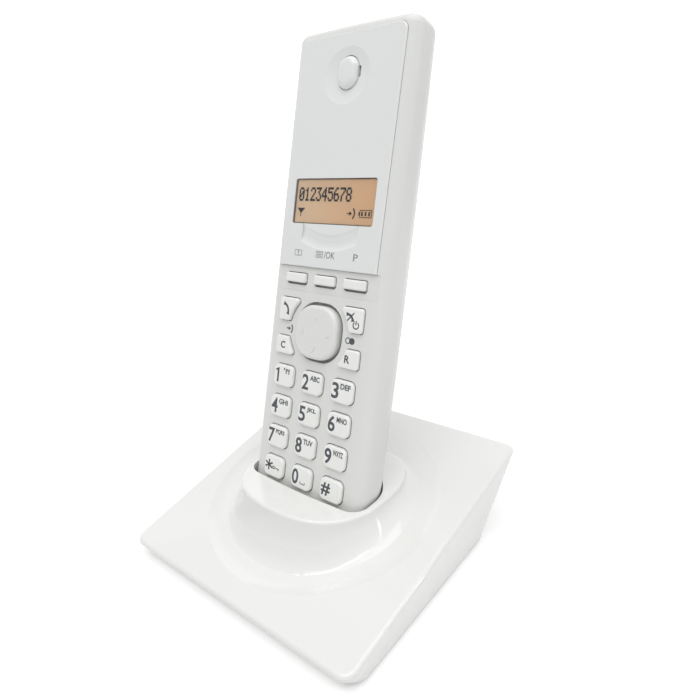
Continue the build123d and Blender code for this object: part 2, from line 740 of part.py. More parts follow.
def nav_pivot():
    """The rubber pad in the middle that the navigation key rocks on."""
    front = FLANGE_FRONT + NAV_SLACK + KEY_FLANGE_THICKNESS
    return across(0, NAV_AT, front + NAV_PAD_GAP, SHEET_FRONT - NAV_PAD_GAP, NAV_PAD_RADIUS)


def screw_places():
    return [(side * SCREW_SPREAD, SCREW_AT) for side in (-1, 1)]


def post_places():
    """Posts that hold the circuit board off the front shell."""
    return [(side * POST_SPREAD, v) for side in (-1, 1) for v in POST_ROWS]


def soft_key_band():
    """The step across the flat front that the soft keys stand in."""
    return block(-BIG, BIG, -BIG, BAND_DEPTH, BAND_BOTTOM, FASCIA_BOTTOM)


def fascia_scoop(radius):
    """A shallow smile-shaped finger scoop under the display."""
    middle = SCOOP_DEPTH - radius - FASCIA_PROUD
    ring = Pos(0, middle, SCOOP_AT + SCOOP_SPREAD) * Rot(90, 0, 0) * Torus(SCOOP_SPREAD, radius)
    return ring & block(-SCOOP_REACH, SCOOP_REACH, -BIG, BIG, 0, SCOOP_AT + SCOOP_SPREAD / 2)


def handset_front_shell():
    """Front shell with its wall, fascia seat, key openings, posts and half of the lap joint."""
    shell = handset_form() & in_front_of(PARTING_DEPTH)
    shell -= handset_form(HANDSET_WALL)
    shell -= handset_form(HANDSET_WALL / 2) & block(
        -BIG, BIG, PARTING_DEPTH - LAP_HEIGHT - LAP_GAP, BIG, -BIG, BIG
    )
    shell -= soft_key_band()
    seat = slab(fascia_outline(SCREEN_REST), FASCIA_SEAT, FASCIA_SEAT + FASCIA_BACKING)
    shell += seat & handset_form(HANDSET_WALL / 2)
    shell -= slab(fascia_outline(LAP_GAP), -BIG / 10, FASCIA_SEAT)
    shell -= slab(display_outline(-SCREEN_REST), 0, PARTING_DEPTH)
    shell -= across(0, EARPIECE_AT, 0, PARTING_DEPTH, EAR_PORT_RADIUS)
    for x, v in post_places():
        shell += across(x, v, HANDSET_WALL, BOARD_FRONT_DEPTH, POST_RADIUS)
    for x, v in screw_places():
        boss = across(x, v, HANDSET_WALL, PARTING_DEPTH, SCREW_BOSS_RADIUS)
        shell += boss - across(x, v, BOARD_FRONT_DEPTH, BIG, SCREW_RADIUS + SCREW_SLACK)
    for name, (outline, _) in key_plan().items():
        opening = outline(KEY_GAP)
        if name.startswith("soft"):
            opening += Pos(0, -SOFT_SLOT) * opening
        shell -= slab(opening, -1, PARTING_DEPTH)
    shell -= slab(nav_outline(NAV_GAP), -1, PARTING_DEPTH)
    shell -= across(0, MICROPHONE_AT, -1, PARTING_DEPTH, MICROPHONE_PORT_RADIUS)
    return shell.solids().sort_by(SortBy.VOLUME)[-1]


def fascia_panel():
    """Glossy panel with its display window, scoop, and the dish round the earpiece."""
    panel = slab(fascia_outline(), -FASCIA_PROUD, FASCIA_SEAT)
    panel = fillet(panel.faces().sort_by(Axis.Y)[0].edges(), FASCIA_EDGE_ROUND)
    panel -= slab(display_outline(), -1, FASCIA_SEAT)
    ball = (EAR_DISH_RADIUS**2 + EAR_DISH_DEPTH**2) / (2 * EAR_DISH_DEPTH)
    panel -= Pos(0, -FASCIA_PROUD + EAR_DISH_DEPTH - ball, EARPIECE_AT) * Sphere(ball)
    panel -= slab(ear_cap_outline(EAR_SLOT), -1, FASCIA_SEAT)
    slit = Pos(EAR_SLIT, EAR_CAP_AT) * RectangleRounded(EAR_CAP_WIDTH, EAR_SLIT_HEIGHT, EAR_SLIT / 2)
    panel -= slab(slit, -1, FASCIA_SEAT)
    return panel - fascia_scoop(SCOOP_RADIUS)


def display_lens():
    lens = slab(display_outline(-LENS_GAP), LENS_SUNK - FASCIA_PROUD, FASCIA_SEAT)
    return chamfer(lens.faces().sort_by(Axis.Y)[0].edges(), LENS_GAP)


def lcd_panel():
    front = FASCIA_SEAT + FASCIA_BACKING
    return slab(display_outline(SCREEN_REST), front, front + LCD_THICKNESS)


def lcd_backlight():
    """Tray behind the glass that spreads the light, and stands on the board."""
    front = FASCIA_SEAT + FASCIA_BACKING + LCD_THICKNESS
    tray = slab(display_outline(SCREEN_REST), front, BOARD_FRONT_DEPTH)
    return tray - slab(display_outline(-SCREEN_REST), front, BOARD_FRONT_DEPTH - SHEET_THICKNESS)


def earpiece_cap():
    """Raised pill over the earpiece, with a rounded top."""
    cap = slab(ear_cap_outline(), -EAR_CAP_PROUD, FASCIA_SEAT)
    return fillet(cap.faces().sort_by(Axis.Y)[0].edges(), EAR_CAP_ROUND)


def speaker(v, front, back, radius):
    """A dynamic capsule: a round basket in front, with a smaller magnet pot behind."""
    step = front + (back - front) * BASKET_SHARE
    return across(0, v, front, step, radius) + across(0, v, step, back, radius * POT_SHARE)


def earpiece_speaker():
    return speaker(EARPIECE_AT, FASCIA_SEAT + FASCIA_BACKING, BOARD_FRONT_DEPTH, SPEAKER_RADIUS)


def ringer_speaker():
    """Faces the sound holes in the back, with its pot towards the board."""
    return speaker(RINGER_AT, RINGER_DEPTH + RINGER_THICKNESS, RINGER_DEPTH, RINGER_RADIUS)


def microphone():
    return across(0, MICROPHONE_AT, HANDSET_WALL, BOARD_FRONT_DEPTH, MICROPHONE_RADIUS)


def handset_board():
    """Circuit board, notched round the screw bosses."""
    height = HANDSET_BOARD_TOP - HANDSET_BOARD_BOTTOM
    middle = Pos(0, (HANDSET_BOARD_TOP + HANDSET_BOARD_BOTTOM) / 2)
    outline = middle * RectangleRounded(HANDSET_BOARD_WIDTH, height, HANDSET_BOARD_CORNER)
    for x, v in screw_places():
        outline -= Pos(x, v) * Circle(SCREW_BOSS_RADIUS + FIT_GAP)
    board = slab(outline, BOARD_FRONT_DEPTH, BOARD_FRONT_DEPTH + HANDSET_BOARD_THICKNESS)
    back = BOARD_FRONT_DEPTH + HANDSET_BOARD_THICKNESS
    shield = Pos(0, SHIELD_AT) * RectangleRounded(SHIELD_WIDTH, SHIELD_HEIGHT, SHIELD_CORNER)
    return board + slab(shield, back, back + SHIELD_RISE)


def key_sheet():
    """The rubber sheet under the keys, with a dome below each of them."""
    top = FASCIA_BOTTOM - SHEET_MARGIN
    low = SCREW_AT + SCREW_BOSS_RADIUS + SHEET_MARGIN
    outline = Pos(0, (top + low) / 2) * RectangleRounded(SHEET_WIDTH, top - low, SHEET_CORNER)
    sheet = slab(outline, SHEET_FRONT, BOARD_FRONT_DEPTH)
    places = [shape(0).center() for shape, _ in key_plan().values()]
    spots = [(c.X, c.Y) for c in places]
    spots += [(NAV_DOME_AT * cos(a), NAV_AT + NAV_DOME_AT * sin(a)) for a in (0, pi / 2, pi, -pi / 2)]
    for u, v in spots:
        dome = Cone(DOME_RADIUS, DOME_RADIUS * DOME_TAPER, DOME_HEIGHT + SHEET_THICKNESS / 2)
        middle = SHEET_FRONT - (DOME_HEIGHT - SHEET_THICKNESS / 2) / 2
        sheet += Pos(u, middle, v) * Rot(90, 0, 0) * dome
    return sheet


def cover_outline(grow=0.0):
    height = COVER_TOP - COVER_BOTTOM
    outline = RectangleRounded(COVER_WIDTH + 2 * grow, height + 2 * grow, COVER_CORNER + grow)
    return Pos(0, (COVER_TOP + COVER_BOTTOM) / 2) * outline


def tray_front():
    return CELL_DEPTH - CELL_RADIUS - CELL_GAP


def battery_bay():
    """Open-backed bay for two cells side by side."""
    half = CELL_SPACING / 2 + CELL_RADIUS + CELL_GAP
    return block(-half, half, tray_front(), BIG, TRAY_BOTTOM, TRAY_TOP)


def handset_rear_shell():
    """Rear shell with the lap ring, the battery bay, the cover's seat and the screw wells."""
    wall = HANDSET_WALL
    shell = (handset_form() & behind(PARTING_DEPTH)) - handset_form(wall)
    ring = shell_between(wall / 2 + LAP_GAP, wall) & block(
        -BIG, BIG, PARTING_DEPTH - LAP_HEIGHT, PARTING_DEPTH + wall, -BIG, BIG
    )
    shell += ring
    seat_inset = wall + COVER_GAP
    ledge = shell_between(wall / 2, seat_inset + TRAY_WALL)
    shell += ledge & slab(cover_outline(COVER_LEDGE), PARTING_DEPTH, BIG)
    half = CELL_SPACING / 2 + CELL_RADIUS + CELL_GAP + TRAY_WALL
    tray = block(-half, half, tray_front() - TRAY_WALL, BIG, TRAY_BOTTOM - TRAY_WALL, TRAY_TOP + TRAY_WALL)
    shell += tray & handset_form(wall / 2)
    for x, v in screw_places():
        shell += across(x, v, PARTING_DEPTH, THICK_BOTTOM, SCREW_BOSS_RADIUS + WELL_WALL) & handset_form(wall / 2)
    holder = across(0, RINGER_AT, RINGER_DEPTH, THICK_MIDDLE, RINGER_RADIUS + WELL_WALL)
    holder -= across(0, RINGER_AT, RINGER_DEPTH, RINGER_DEPTH + RINGER_THICKNESS, RINGER_RADIUS + LAP_GAP)
    holder -= across(0, RINGER_AT, RINGER_DEPTH, THICK_MIDDLE, RINGER_RADIUS - WELL_WALL)
    shell += holder & handset_form(wall / 2)
    shell -= battery_bay()
    shell -= slab(cover_outline(COVER_GAP), PARTING_DEPTH, BIG) - handset_form(seat_inset)
    for x, v in screw_places():
        shell -= across(x, v, PARTING_DEPTH - 1, BIG, SCREW_RADIUS + SCREW_CLEAR)
        shell -= across(x, v, PARTING_DEPTH + WELL_FLOOR, BIG, SCREW_HEAD_RADIUS + SCREW_CLEAR)
    for u, v in ringer_ports():
        shell -= across(u, v, RINGER_DEPTH, BIG, RINGER_PORT_RADIUS)
    for side in (-1, 1):
        shell -= terminal_slot(side)
    return shell.solids().sort_by(SortBy.VOLUME)[-1]


def ringer_ports():
    """A ring of small sound holes round a central one."""
    spots = [(0, RINGER_AT)]
    for i in range(RINGER_PORTS):
        angle = 2 * pi * i / RINGER_PORTS
        spots.append((RINGER_PORT_SPREAD * cos(angle), RINGER_AT + RINGER_PORT_SPREAD * sin(angle)))
    return spots


def battery_cover():
    """Lift-off cover that follows the handset's back, with finger grooves near its top."""
    panel = shell_between(0, HANDSET_WALL) & slab(cover_outline(), PARTING_DEPTH, BIG)
    for i in range(GRIP_GROOVES):
        v = COVER_TOP - GRIP_FROM_TOP - i * GRIP_PITCH
        groove = Rot(0, 90, 0) * Cylinder(GRIP_RADIUS, GRIP_WIDTH)
        panel -= Pos(0, thickness_at(v) + GRIP_RADIUS / 3, v) * groove
    return panel


def cell_low():
    """Where the cells' lower ends are, above their contacts."""
    return TRAY_BOTTOM + CONTACT_ROOM


def battery_cell(side):
    """An AAA cell; the two lie head to tail."""
    can = Cylinder(CELL_RADIUS, CELL_LENGTH - CELL_BUTTON)
    can = fillet(can.edges(), CELL_EDGE)
    button = Pos(0, 0, CELL_LENGTH / 2) * Cylinder(CELL_BUTTON_RADIUS, CELL_BUTTON)
    cell = Pos(0, 0, -CELL_BUTTON / 2) * (can + button)
    middle = cell_low() + CELL_LENGTH / 2
    return Pos(side * CELL_SPACING / 2, CELL_DEPTH, middle) * Rot(90 - 90 * side, 0, 0) * cell


def battery_spring(side):
    """Coil that presses on a cell's flat end: the lower end on the right, the upper on the left."""
    room = CONTACT_ROOM if side > 0 else TRAY_TOP - TRAY_BOTTOM - CONTACT_ROOM - CELL_LENGTH
    height = room - 2 * SPRING_WIRE
    path = Helix(height / SPRING_TURNS, height, SPRING_RADIUS, cone_angle=0)
    wire = sweep(Plane(path @ 0, z_dir=path % 0) * Circle(SPRING_WIRE), path=path, is_frenet=True)
    start = TRAY_BOTTOM + SPRING_WIRE if side > 0 else cell_low() + CELL_LENGTH + SPRING_WIRE
    return Pos(side * CELL_SPACING / 2, CELL_DEPTH, start) * wire


def battery_contact(side):
    """Pressed tab that meets a cell's button, with a raised point in its middle."""
    room = TRAY_TOP - TRAY_BOTTOM - CONTACT_ROOM - CELL_LENGTH if side > 0 else CONTACT_ROOM
    standing = (Align.CENTER, Align.CENTER, Align.MIN)
    plate = Cylinder(CELL_RADIUS * TAB_SHARE, TERMINAL_THICKNESS, align=standing)
    point = Cone(CELL_BUTTON_RADIUS, CELL_BUTTON_RADIUS / 2, room, align=standing)
    base = TRAY_TOP if side > 0 else TRAY_BOTTOM
    return Pos(side * CELL_SPACING / 2, CELL_DEPTH, base) * Rot(90 + 90 * side, 0, 0) * (plate + point)


def handset_screws():
    """Two self-tapping screws that hold the shells together."""
    seat = PARTING_DEPTH + WELL_FLOOR
    reach = 2 * SCREW_HEAD_RADIUS * DRIVE_SHARE
    screws = []
    for x, v in screw_places():
        shank = across(x, v, BOARD_FRONT_DEPTH + SCREW_CLEAR, seat, SCREW_RADIUS)
        head = across(x, v, seat, seat + SCREW_HEAD_HEIGHT, SCREW_HEAD_RADIUS)
        drive = Rectangle(reach, DRIVE_WIDTH) + Rectangle(DRIVE_WIDTH, reach)
        screws.append(shank + head - slab(Pos(x, v) * drive, seat + DRIVE_WIDTH, BIG))
    return Compound(children=screws)


def ribbon(points, radius, width, thickness):
    """A strip of sheet metal, bent along a path in the depth and length directions."""
    path = FilletPolyline(*points, radius=radius)
    start = Plane(origin=path @ 0, x_dir=(1, 0, 0), z_dir=path % 0)
    return sweep(start * Rectangle(width, thickness), path=path)


def terminal_points(x):
    """The handset's charging terminal: flush on the bottom end, then in and up to the board."""
    t = TERMINAL_THICKNESS
    back = CONTACT_DEPTH + TERMINAL_REACH
    front = CONTACT_DEPTH - TERMINAL_REACH
    inside = HANDSET_WALL + t
    board = BOARD_FRONT_DEPTH + HANDSET_BOARD_THICKNESS + t / 2
    top = HANDSET_BOARD_BOTTOM + TERMINAL_REACH
    return [(x, back, t / 2), (x, front, t / 2), (x, front, inside), (x, board, inside), (x, board, top)]


def charge_terminal(side):
    return ribbon(terminal_points(side * CONTACT_X), TERMINAL_THICKNESS, TERMINAL_WIDTH, TERMINAL_THICKNESS)


def terminal_slot(side):
    """Recess and slit for the terminal in the rear shell's bottom end."""
    half = TERMINAL_WIDTH / 2 + LAP_GAP
    t = TERMINAL_THICKNESS
    x = side * CONTACT_X
    back = CONTACT_DEPTH + TERMINAL_REACH + LAP_GAP
    front = CONTACT_DEPTH - TERMINAL_REACH - t / 2 - LAP_GAP
    recess = block(x - half, x + half, front, back, -1, t)
    slit = block(x - half, x + half, front, CONTACT_DEPTH - TERMINAL_REACH + t + LAP_GAP, -1, HANDSET_WALL + t)
    return recess + slit


# ================================================================ base fittings
def foot_places():
    return [(side * FOOT_X, y) for side in (-1, 1) for y in (FOOT_FRONT_Y, FOOT_BACK_Y)]


def base_bottom_cover():
    """Floor of the base, with foot recesses, screw seats, cooling slots, and pegs for the board."""
    inner = base_block(BASE_WALL + FIT_GAP)
    floor = inner & block(-BIG, BIG, -BIG, BIG, SKIRT_Z, SKIRT_Z + FLOOR_THICKNESS)
    top = SKIRT_Z + FLOOR_THICKNESS
    for x, y in foot_places():
        floor -= upright(x, y, 0, SKIRT_Z + FOOT_INSET, FOOT_RADIUS + FIT_GAP)
    for x, y in boss_places():
        floor -= upright(x, y, 0, top, SCREW_RADIUS + SCREW_CLEAR)
        floor -= upright(x, y, 0, SKIRT_Z + SCREW_HEAD_HEIGHT, SCREW_HEAD_RADIUS + SCREW_CLEAR)
    for x in (-PEG_X, PEG_X):
        for y in (BOARD_FRONT_Y + PEG_RADIUS, BOARD_BACK_Y - PEG_RADIUS):
            floor += upright(x, y, top, top + BOARD_STANDOFF, PEG_RADIUS)
    for i in range(VENT_SLOTS):
        x = (i - (VENT_SLOTS - 1) / 2) * VENT_PITCH
        slot = Pos(x, VENT_Y) * Rot(0, 0, 90) * SlotOverall(VENT_LENGTH, VENT_WIDTH)
        floor -= extrude(slot, top)
    return floor


def rubber_feet():
    """Four round feet that stick in the floor's recesses."""
    feet = []
    for x, y in foot_places():
        foot = upright(x, y, 0, SKIRT_Z + FOOT_INSET, FOOT_RADIUS)
        feet.append(fillet(foot.edges().sort_by(Axis.Z)[0], FOOT_ROUND))
    return Compound(children=feet)


def base_screws():
    """Four screws up through the floor into the bosses."""
    seat = SKIRT_Z + SCREW_HEAD_HEIGHT
    screws = []
    for x, y in boss_places():
        shank = upright(x, y, seat, SKIRT_Z + FLOOR_THICKNESS + BASE_SCREW_LENGTH - SCREW_CLEAR, SCREW_RADIUS)
        head = upright(x, y, seat - SCREW_HEAD_HEIGHT + SCREW_CLEAR, seat, SCREW_HEAD_RADIUS)
        reach = SCREW_HEAD_RADIUS * DRIVE_SHARE
        half = DRIVE_WIDTH / 2
        low, high = 0, seat - DRIVE_WIDTH
        cross = block(x - reach, x + reach, y - half, y + half, low, high)
        cross += block(x - half, x + half, y - reach, y + reach, low, high)
        screws.append(shank + head - cross)
    return Compound(children=screws)


def base_circuit_board():
    """Radio board behind the cup, with a screening can over its middle."""
    top = board_top()
    board = block(
        -BOARD_WIDTH / 2, BOARD_WIDTH / 2, BOARD_FRONT_Y, BOARD_BACK_Y, top - BOARD_THICKNESS, top
    )
    front, back = BOARD_FRONT_Y + CAN_MARGIN, BOARD_BACK_Y - CAN_MARGIN
    can = block(CAN_X, CAN_X + CAN_LENGTH, front, back, top, top + CAN_RISE)
    return board + can


def line_jack():
    """Six-way telephone jack: a block with a stepped mouth and a latch notch."""
    body = line_jack_block(0)
    middle = board_top() + LINE_JACK_HEIGHT / 2
    half = LINE_SOCKET_WIDTH / 2
    low = middle - LINE_SOCKET_HEIGHT / 2
    high = middle + LINE_SOCKET_HEIGHT / 2
    back = JACK_FACE_Y - LINE_SOCKET_DEPTH
    body -= block(LINE_JACK_X - half, LINE_JACK_X + half, back, JACK_FACE_Y, low, high)
    latch = LATCH_WIDTH / 2
    body -= block(LINE_JACK_X - latch, LINE_JACK_X + latch, back, JACK_FACE_Y, low - LATCH_DEPTH, low)
    return body


def power_jack():
    """Barrel jack with its centre pin."""
    body = power_jack_block(0)
    middle = board_top() + POWER_JACK_HEIGHT / 2
    length = POWER_JACK_DEPTH - RECESS_WALL
    place = Pos(POWER_JACK_X, JACK_FACE_Y - length / 2, middle) * Rot(90, 0, 0)
    return body - place * (Cylinder(POWER_SOCKET_RADIUS, length) - Cylinder(POWER_PIN_RADIUS, length))


def page_key():
    """Pill-shaped key in the back wall, held by a flange behind it."""
    frame = page_key_frame()
    back = BASE_WALL + KEY_SLACK
    top = extrude(page_key_outline(0), PAGE_KEY_PROUD)
    top = fillet(top.faces().sort_by(Axis.Z)[-1].edges(), PAGE_KEY_ROUND)
    top += extrude(page_key_outline(0), -back)
    flange = Pos(0, 0, -back) * extrude(page_key_outline(KEY_FLANGE), -KEY_FLANGE_THICKNESS)
    return frame.location * (top + flange)


def contact_points(x):
    """A charging spring: clamped under the front of the cup, up through its slot, and over."""
    clamp = -POCKET_BELOW - CUP_WALL - CONTACT_STRIP / 2
    crest = -CONTACT_STRIP / 2 - CONTACT_TOUCH
    start = CONTACT_DEPTH - CONTACT_ARM
    return [
        (x, start, clamp),
        (x, CONTACT_DEPTH - CONTACT_CREST - CONTACT_RAMP, clamp),
        (x, CONTACT_DEPTH - CONTACT_CREST / 2, crest),
        (x, CONTACT_DEPTH + CONTACT_CREST / 2, crest),
        (x, CONTACT_DEPTH + CONTACT_CREST, -POCKET_BELOW - CONTACT_STRIP),
    ]


def charge_spring(side):
    return ribbon(contact_points(side * CONTACT_X), CONTACT_STRIP, CONTACT_WIDTH, CONTACT_STRIP)


if __name__ == "__main__":
    os.makedirs("parts", exist_ok=True)
    base = {
        "base_top_housing": base_top_housing(),
        "base_bottom_cover": base_bottom_cover(),
        "base_circuit_board": base_circuit_board(),
        "line_jack": line_jack(),
        "power_jack": power_jack(),
        "page_key": page_key(),
        "rubber_feet": rubber_feet(),
        "base_screws": base_screws(),
        "charge_spring_left": in_base(charge_spring(-1)),
        "charge_spring_right": in_base(charge_spring(1)),
    }
    handset = {
        "handset_front_shell": handset_front_shell(),
        "handset_rear_shell": handset_rear_shell(),
        "battery_cover": battery_cover(),
        "fascia_panel": fascia_panel(),
        "display_lens": display_lens(),
        "lcd_panel": lcd_panel(),
        "lcd_backlight": lcd_backlight(),
        "earpiece_cap": earpiece_cap(),
        "earpiece_speaker": earpiece_speaker(),
        "ringer_speaker": ringer_speaker(),
        "microphone": microphone(),
        "handset_board": handset_board(),
        "key_sheet": key_sheet(),
        "nav_key": nav_key(),
        "nav_pivot": nav_pivot(),
        "handset_screws": handset_screws(),
    }
    for name, (outline, proud) in key_plan().items():
        handset[name] = key_cap(outline, proud)
    for word, side in (("left", -1), ("right", 1)):
        handset[f"battery_cell_{word}"] = battery_cell(side)
        handset[f"battery_spring_{word}"] = battery_spring(side)
        handset[f"battery_contact_{word}"] = battery_contact(side)
        handset[f"charge_terminal_{word}"] = charge_terminal(side)
    for name, piece in base.items():
        save(name, piece)
    for name, piece in handset.items():
        save(name, in_base(piece))
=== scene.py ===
# %% [markdown]
# # A cordless phone standing in its base
# The solids of the phone are already made, to size, in CAD. This notebook gives them their looks:
# white moulded plastics, printed keys, a lit display, and the small parts that only show when the
# handset is lifted or its battery cover is taken off. The first line of code puts the packed
# solids in the scene, in metres, each at its own place, so that nothing has to be fitted by eye.

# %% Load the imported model
import json
from math import pi, radians

import bmesh
import bpy
import numpy as np
from mathutils import Matrix, Vector


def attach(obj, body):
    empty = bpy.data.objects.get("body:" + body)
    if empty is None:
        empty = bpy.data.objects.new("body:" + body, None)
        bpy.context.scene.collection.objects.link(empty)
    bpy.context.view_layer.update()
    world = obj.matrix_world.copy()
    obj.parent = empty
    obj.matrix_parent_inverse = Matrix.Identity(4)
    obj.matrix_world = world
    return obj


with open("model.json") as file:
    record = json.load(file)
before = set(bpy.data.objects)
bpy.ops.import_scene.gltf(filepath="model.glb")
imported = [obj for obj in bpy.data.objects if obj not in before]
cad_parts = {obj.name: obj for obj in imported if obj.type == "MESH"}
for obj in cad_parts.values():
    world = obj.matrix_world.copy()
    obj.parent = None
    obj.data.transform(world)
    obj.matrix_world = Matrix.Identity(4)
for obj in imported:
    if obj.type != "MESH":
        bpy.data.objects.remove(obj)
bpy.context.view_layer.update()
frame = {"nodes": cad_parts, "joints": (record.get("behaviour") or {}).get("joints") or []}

MM = 0.001
nodes = frame["nodes"]

# %% [markdown]
# ## The handset's own axes
# The handset leans back in its cradle, so its keys don't line up with the world. A key is pressed
# straight into the handset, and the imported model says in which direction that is. Two cross
# products turn that one direction into a full set of axes: across, up the handset, and out of its
# face. With them a printed digit is laid out flat, like on paper, and then turned once into place.

# %% Axes of the handset
def out_of(press):
    """The direction in which a key faces: against the axis of the joint that lets it be pressed."""
    joint = next(joint for joint in frame["joints"] if joint["name"] == press)
    return -Vector(joint["axis"]).normalized()


def facing(out, across):
    """Axes as the columns of a matrix: across, up and out."""
    return Matrix((across, out.cross(across), out)).transposed().to_4x4()


OUT = out_of("key_5_press")
ACROSS = Vector((1, 0, 0))
UP = OUT.cross(ACROSS)
LEAN = facing(OUT, ACROSS)


def points_of(mesh):
    """The vertices of a mesh as an array, one row each."""
    points = np.zeros(len(mesh.vertices) * 3)
    mesh.vertices.foreach_get("co", points)
    return points.reshape(-1, 3)


def own_box(node, axes=LEAN):
    """Lowest and highest corner of a node along some axes, as a rule the handset's, in mm."""
    along = points_of(nodes[node].data) @ np.array(axes.to_3x3())
    return along.min(0) / MM, along.max(0) / MM


print("up the handset:", tuple(round(x, 3) for x in UP), "out of its face:", tuple(round(x, 3) for x in OUT))

# %% [markdown]
# ## Camera
# A product view from the right and a little above. The camera is turned in three steps: level and
# pitched down, then swung round the phone, then rolled by less than a degree. The lens is
# slightly wide, which makes the top of the handset loom over its base, and a vertical shift keeps
# the whole phone in the frame without tilting the camera further.

# %% Camera
CAMERA_TURN = 37.2
CAMERA_DOWN = 13.68
CAMERA_ROLL = -0.76
camera_data = bpy.data.cameras.new("camera")
camera_data.lens = 27.29
camera_data.sensor_width = 36.0
camera_data.shift_y = -0.0616
camera_data.clip_start = 0.01
camera = bpy.data.objects.new("camera", camera_data)
swing = Matrix.Rotation(radians(CAMERA_TURN), 4, "Z")
pitch = Matrix.Rotation(radians(90 - CAMERA_DOWN), 4, "X")
roll = Matrix.Rotation(radians(CAMERA_ROLL), 4, "Z")
camera.matrix_world = Matrix.Translation(Vector((104.1, -122.8, 119.7)) * MM) @ swing @ pitch @ roll
bpy.context.scene.collection.objects.link(camera)
bpy.context.scene.camera = camera
bpy.context.scene.view_settings.view_transform = "Standard"
print("camera at", tuple(round(x, 3) for x in camera.location))

# %% [markdown]
# ## Writing shader maths as Python
# A material in Blender is a graph of nodes. Clicking it together hides the idea behind it, so this
# notebook writes it as formulas. `Value` wraps one output of a node, and Python's own operators on
# it add Math nodes, so that `1 - mask` or `0.2 + 0.1 * noise` read as they would on paper. Any
# other node comes from one method of `Graph`, which takes the node's settings and its inputs.

# %% Shader maths
def connect(tree, place, value):
    """Puts a number, a colour or a linked value into a socket."""
    if isinstance(value, Value):
        tree.links.new(value.socket, place)
    else:
        place.default_value = value


class Value:
    """What comes out of a node. Operators on it add Math nodes."""

    def __init__(self, tree, socket):
        self.tree = tree
        self.socket = socket

    def maths(self, operation, *terms):
        """A Math node. All of its terms are given, this value too where it is one of them."""
        node = self.tree.nodes.new("ShaderNodeMath")
        node.operation = operation
        for place, term in zip(node.inputs, terms):
            connect(self.tree, place, term)
        return Value(self.tree, node.outputs[0])

    def __add__(self, other):
        return self.maths("ADD", self, other)

    def __radd__(self, other):
        return self.maths("ADD", other, self)

    def __sub__(self, other):
        return self.maths("SUBTRACT", self, other)

    def __rsub__(self, other):
        return self.maths("SUBTRACT", other, self)

    def __mul__(self, other):
        return self.maths("MULTIPLY", self, other)

    def __rmul__(self, other):
        return self.maths("MULTIPLY", other, self)

    def __gt__(self, other):
        return self.maths("GREATER_THAN", self, other)

    def __lt__(self, other):
        return self.maths("LESS_THAN", self, other)

    def wave(self, length):
        """A sine of the value, from -1 to 1, that repeats after a length."""
        return self.maths("SINE", self * (2 * pi / length))

    def or_more(self, other):
        """The larger of two values."""
        return self.maths("MAXIMUM", self, other)

    def or_less(self, other):
        """The smaller of two values."""
        return self.maths("MINIMUM", self, other)


def paint(red, green, blue):
    """A colour as a paint chart gives it, from 0 to 255, in the linear numbers that shaders use."""
    shares = np.array([red, green, blue]) / 255
    linear = np.where(shares <= 0.04045, shares / 12.92, ((shares + 0.055) / 1.055) ** 2.4)
    return (*linear.tolist(), 1.0)


class Graph:
    """A tree of nodes, and the one way in which any node is added to it."""

    def __init__(self, tree):
        self.tree = tree

    def node(self, kind, settings=None, sockets=None, out=0):
        """Adds a node: first its settings, a ramp's stops among them, then its sockets."""
        made = self.tree.nodes.new("ShaderNode" + kind)
        for name, value in (settings or {}).items():
            if name == "stops":
                ramp = made.color_ramp.elements
                ramp[0].position, ramp[0].color = value[0]
                ramp[1].position, ramp[1].color = value[-1]
                for place, colour in value[1:-1]:
                    ramp.new(place).color = colour
            else:
                setattr(made, name, value)
        for name, value in (sockets or {}).items():
            connect(self.tree, made.inputs[name], value)
        return Value(self.tree, made.outputs[out])

    def background_shows(self):
        """1 on a ray that comes from the camera, off gloss or through glass, and 0 on the others. A
        ray can be two of these at once, so that their sum is held to 1."""
        ways = [self.node("LightPath", out=f"Is {way} Ray") for way in ("Camera", "Glossy", "Transmission")]
        return (ways[0] + ways[1] + ways[2]).or_less(1.0)


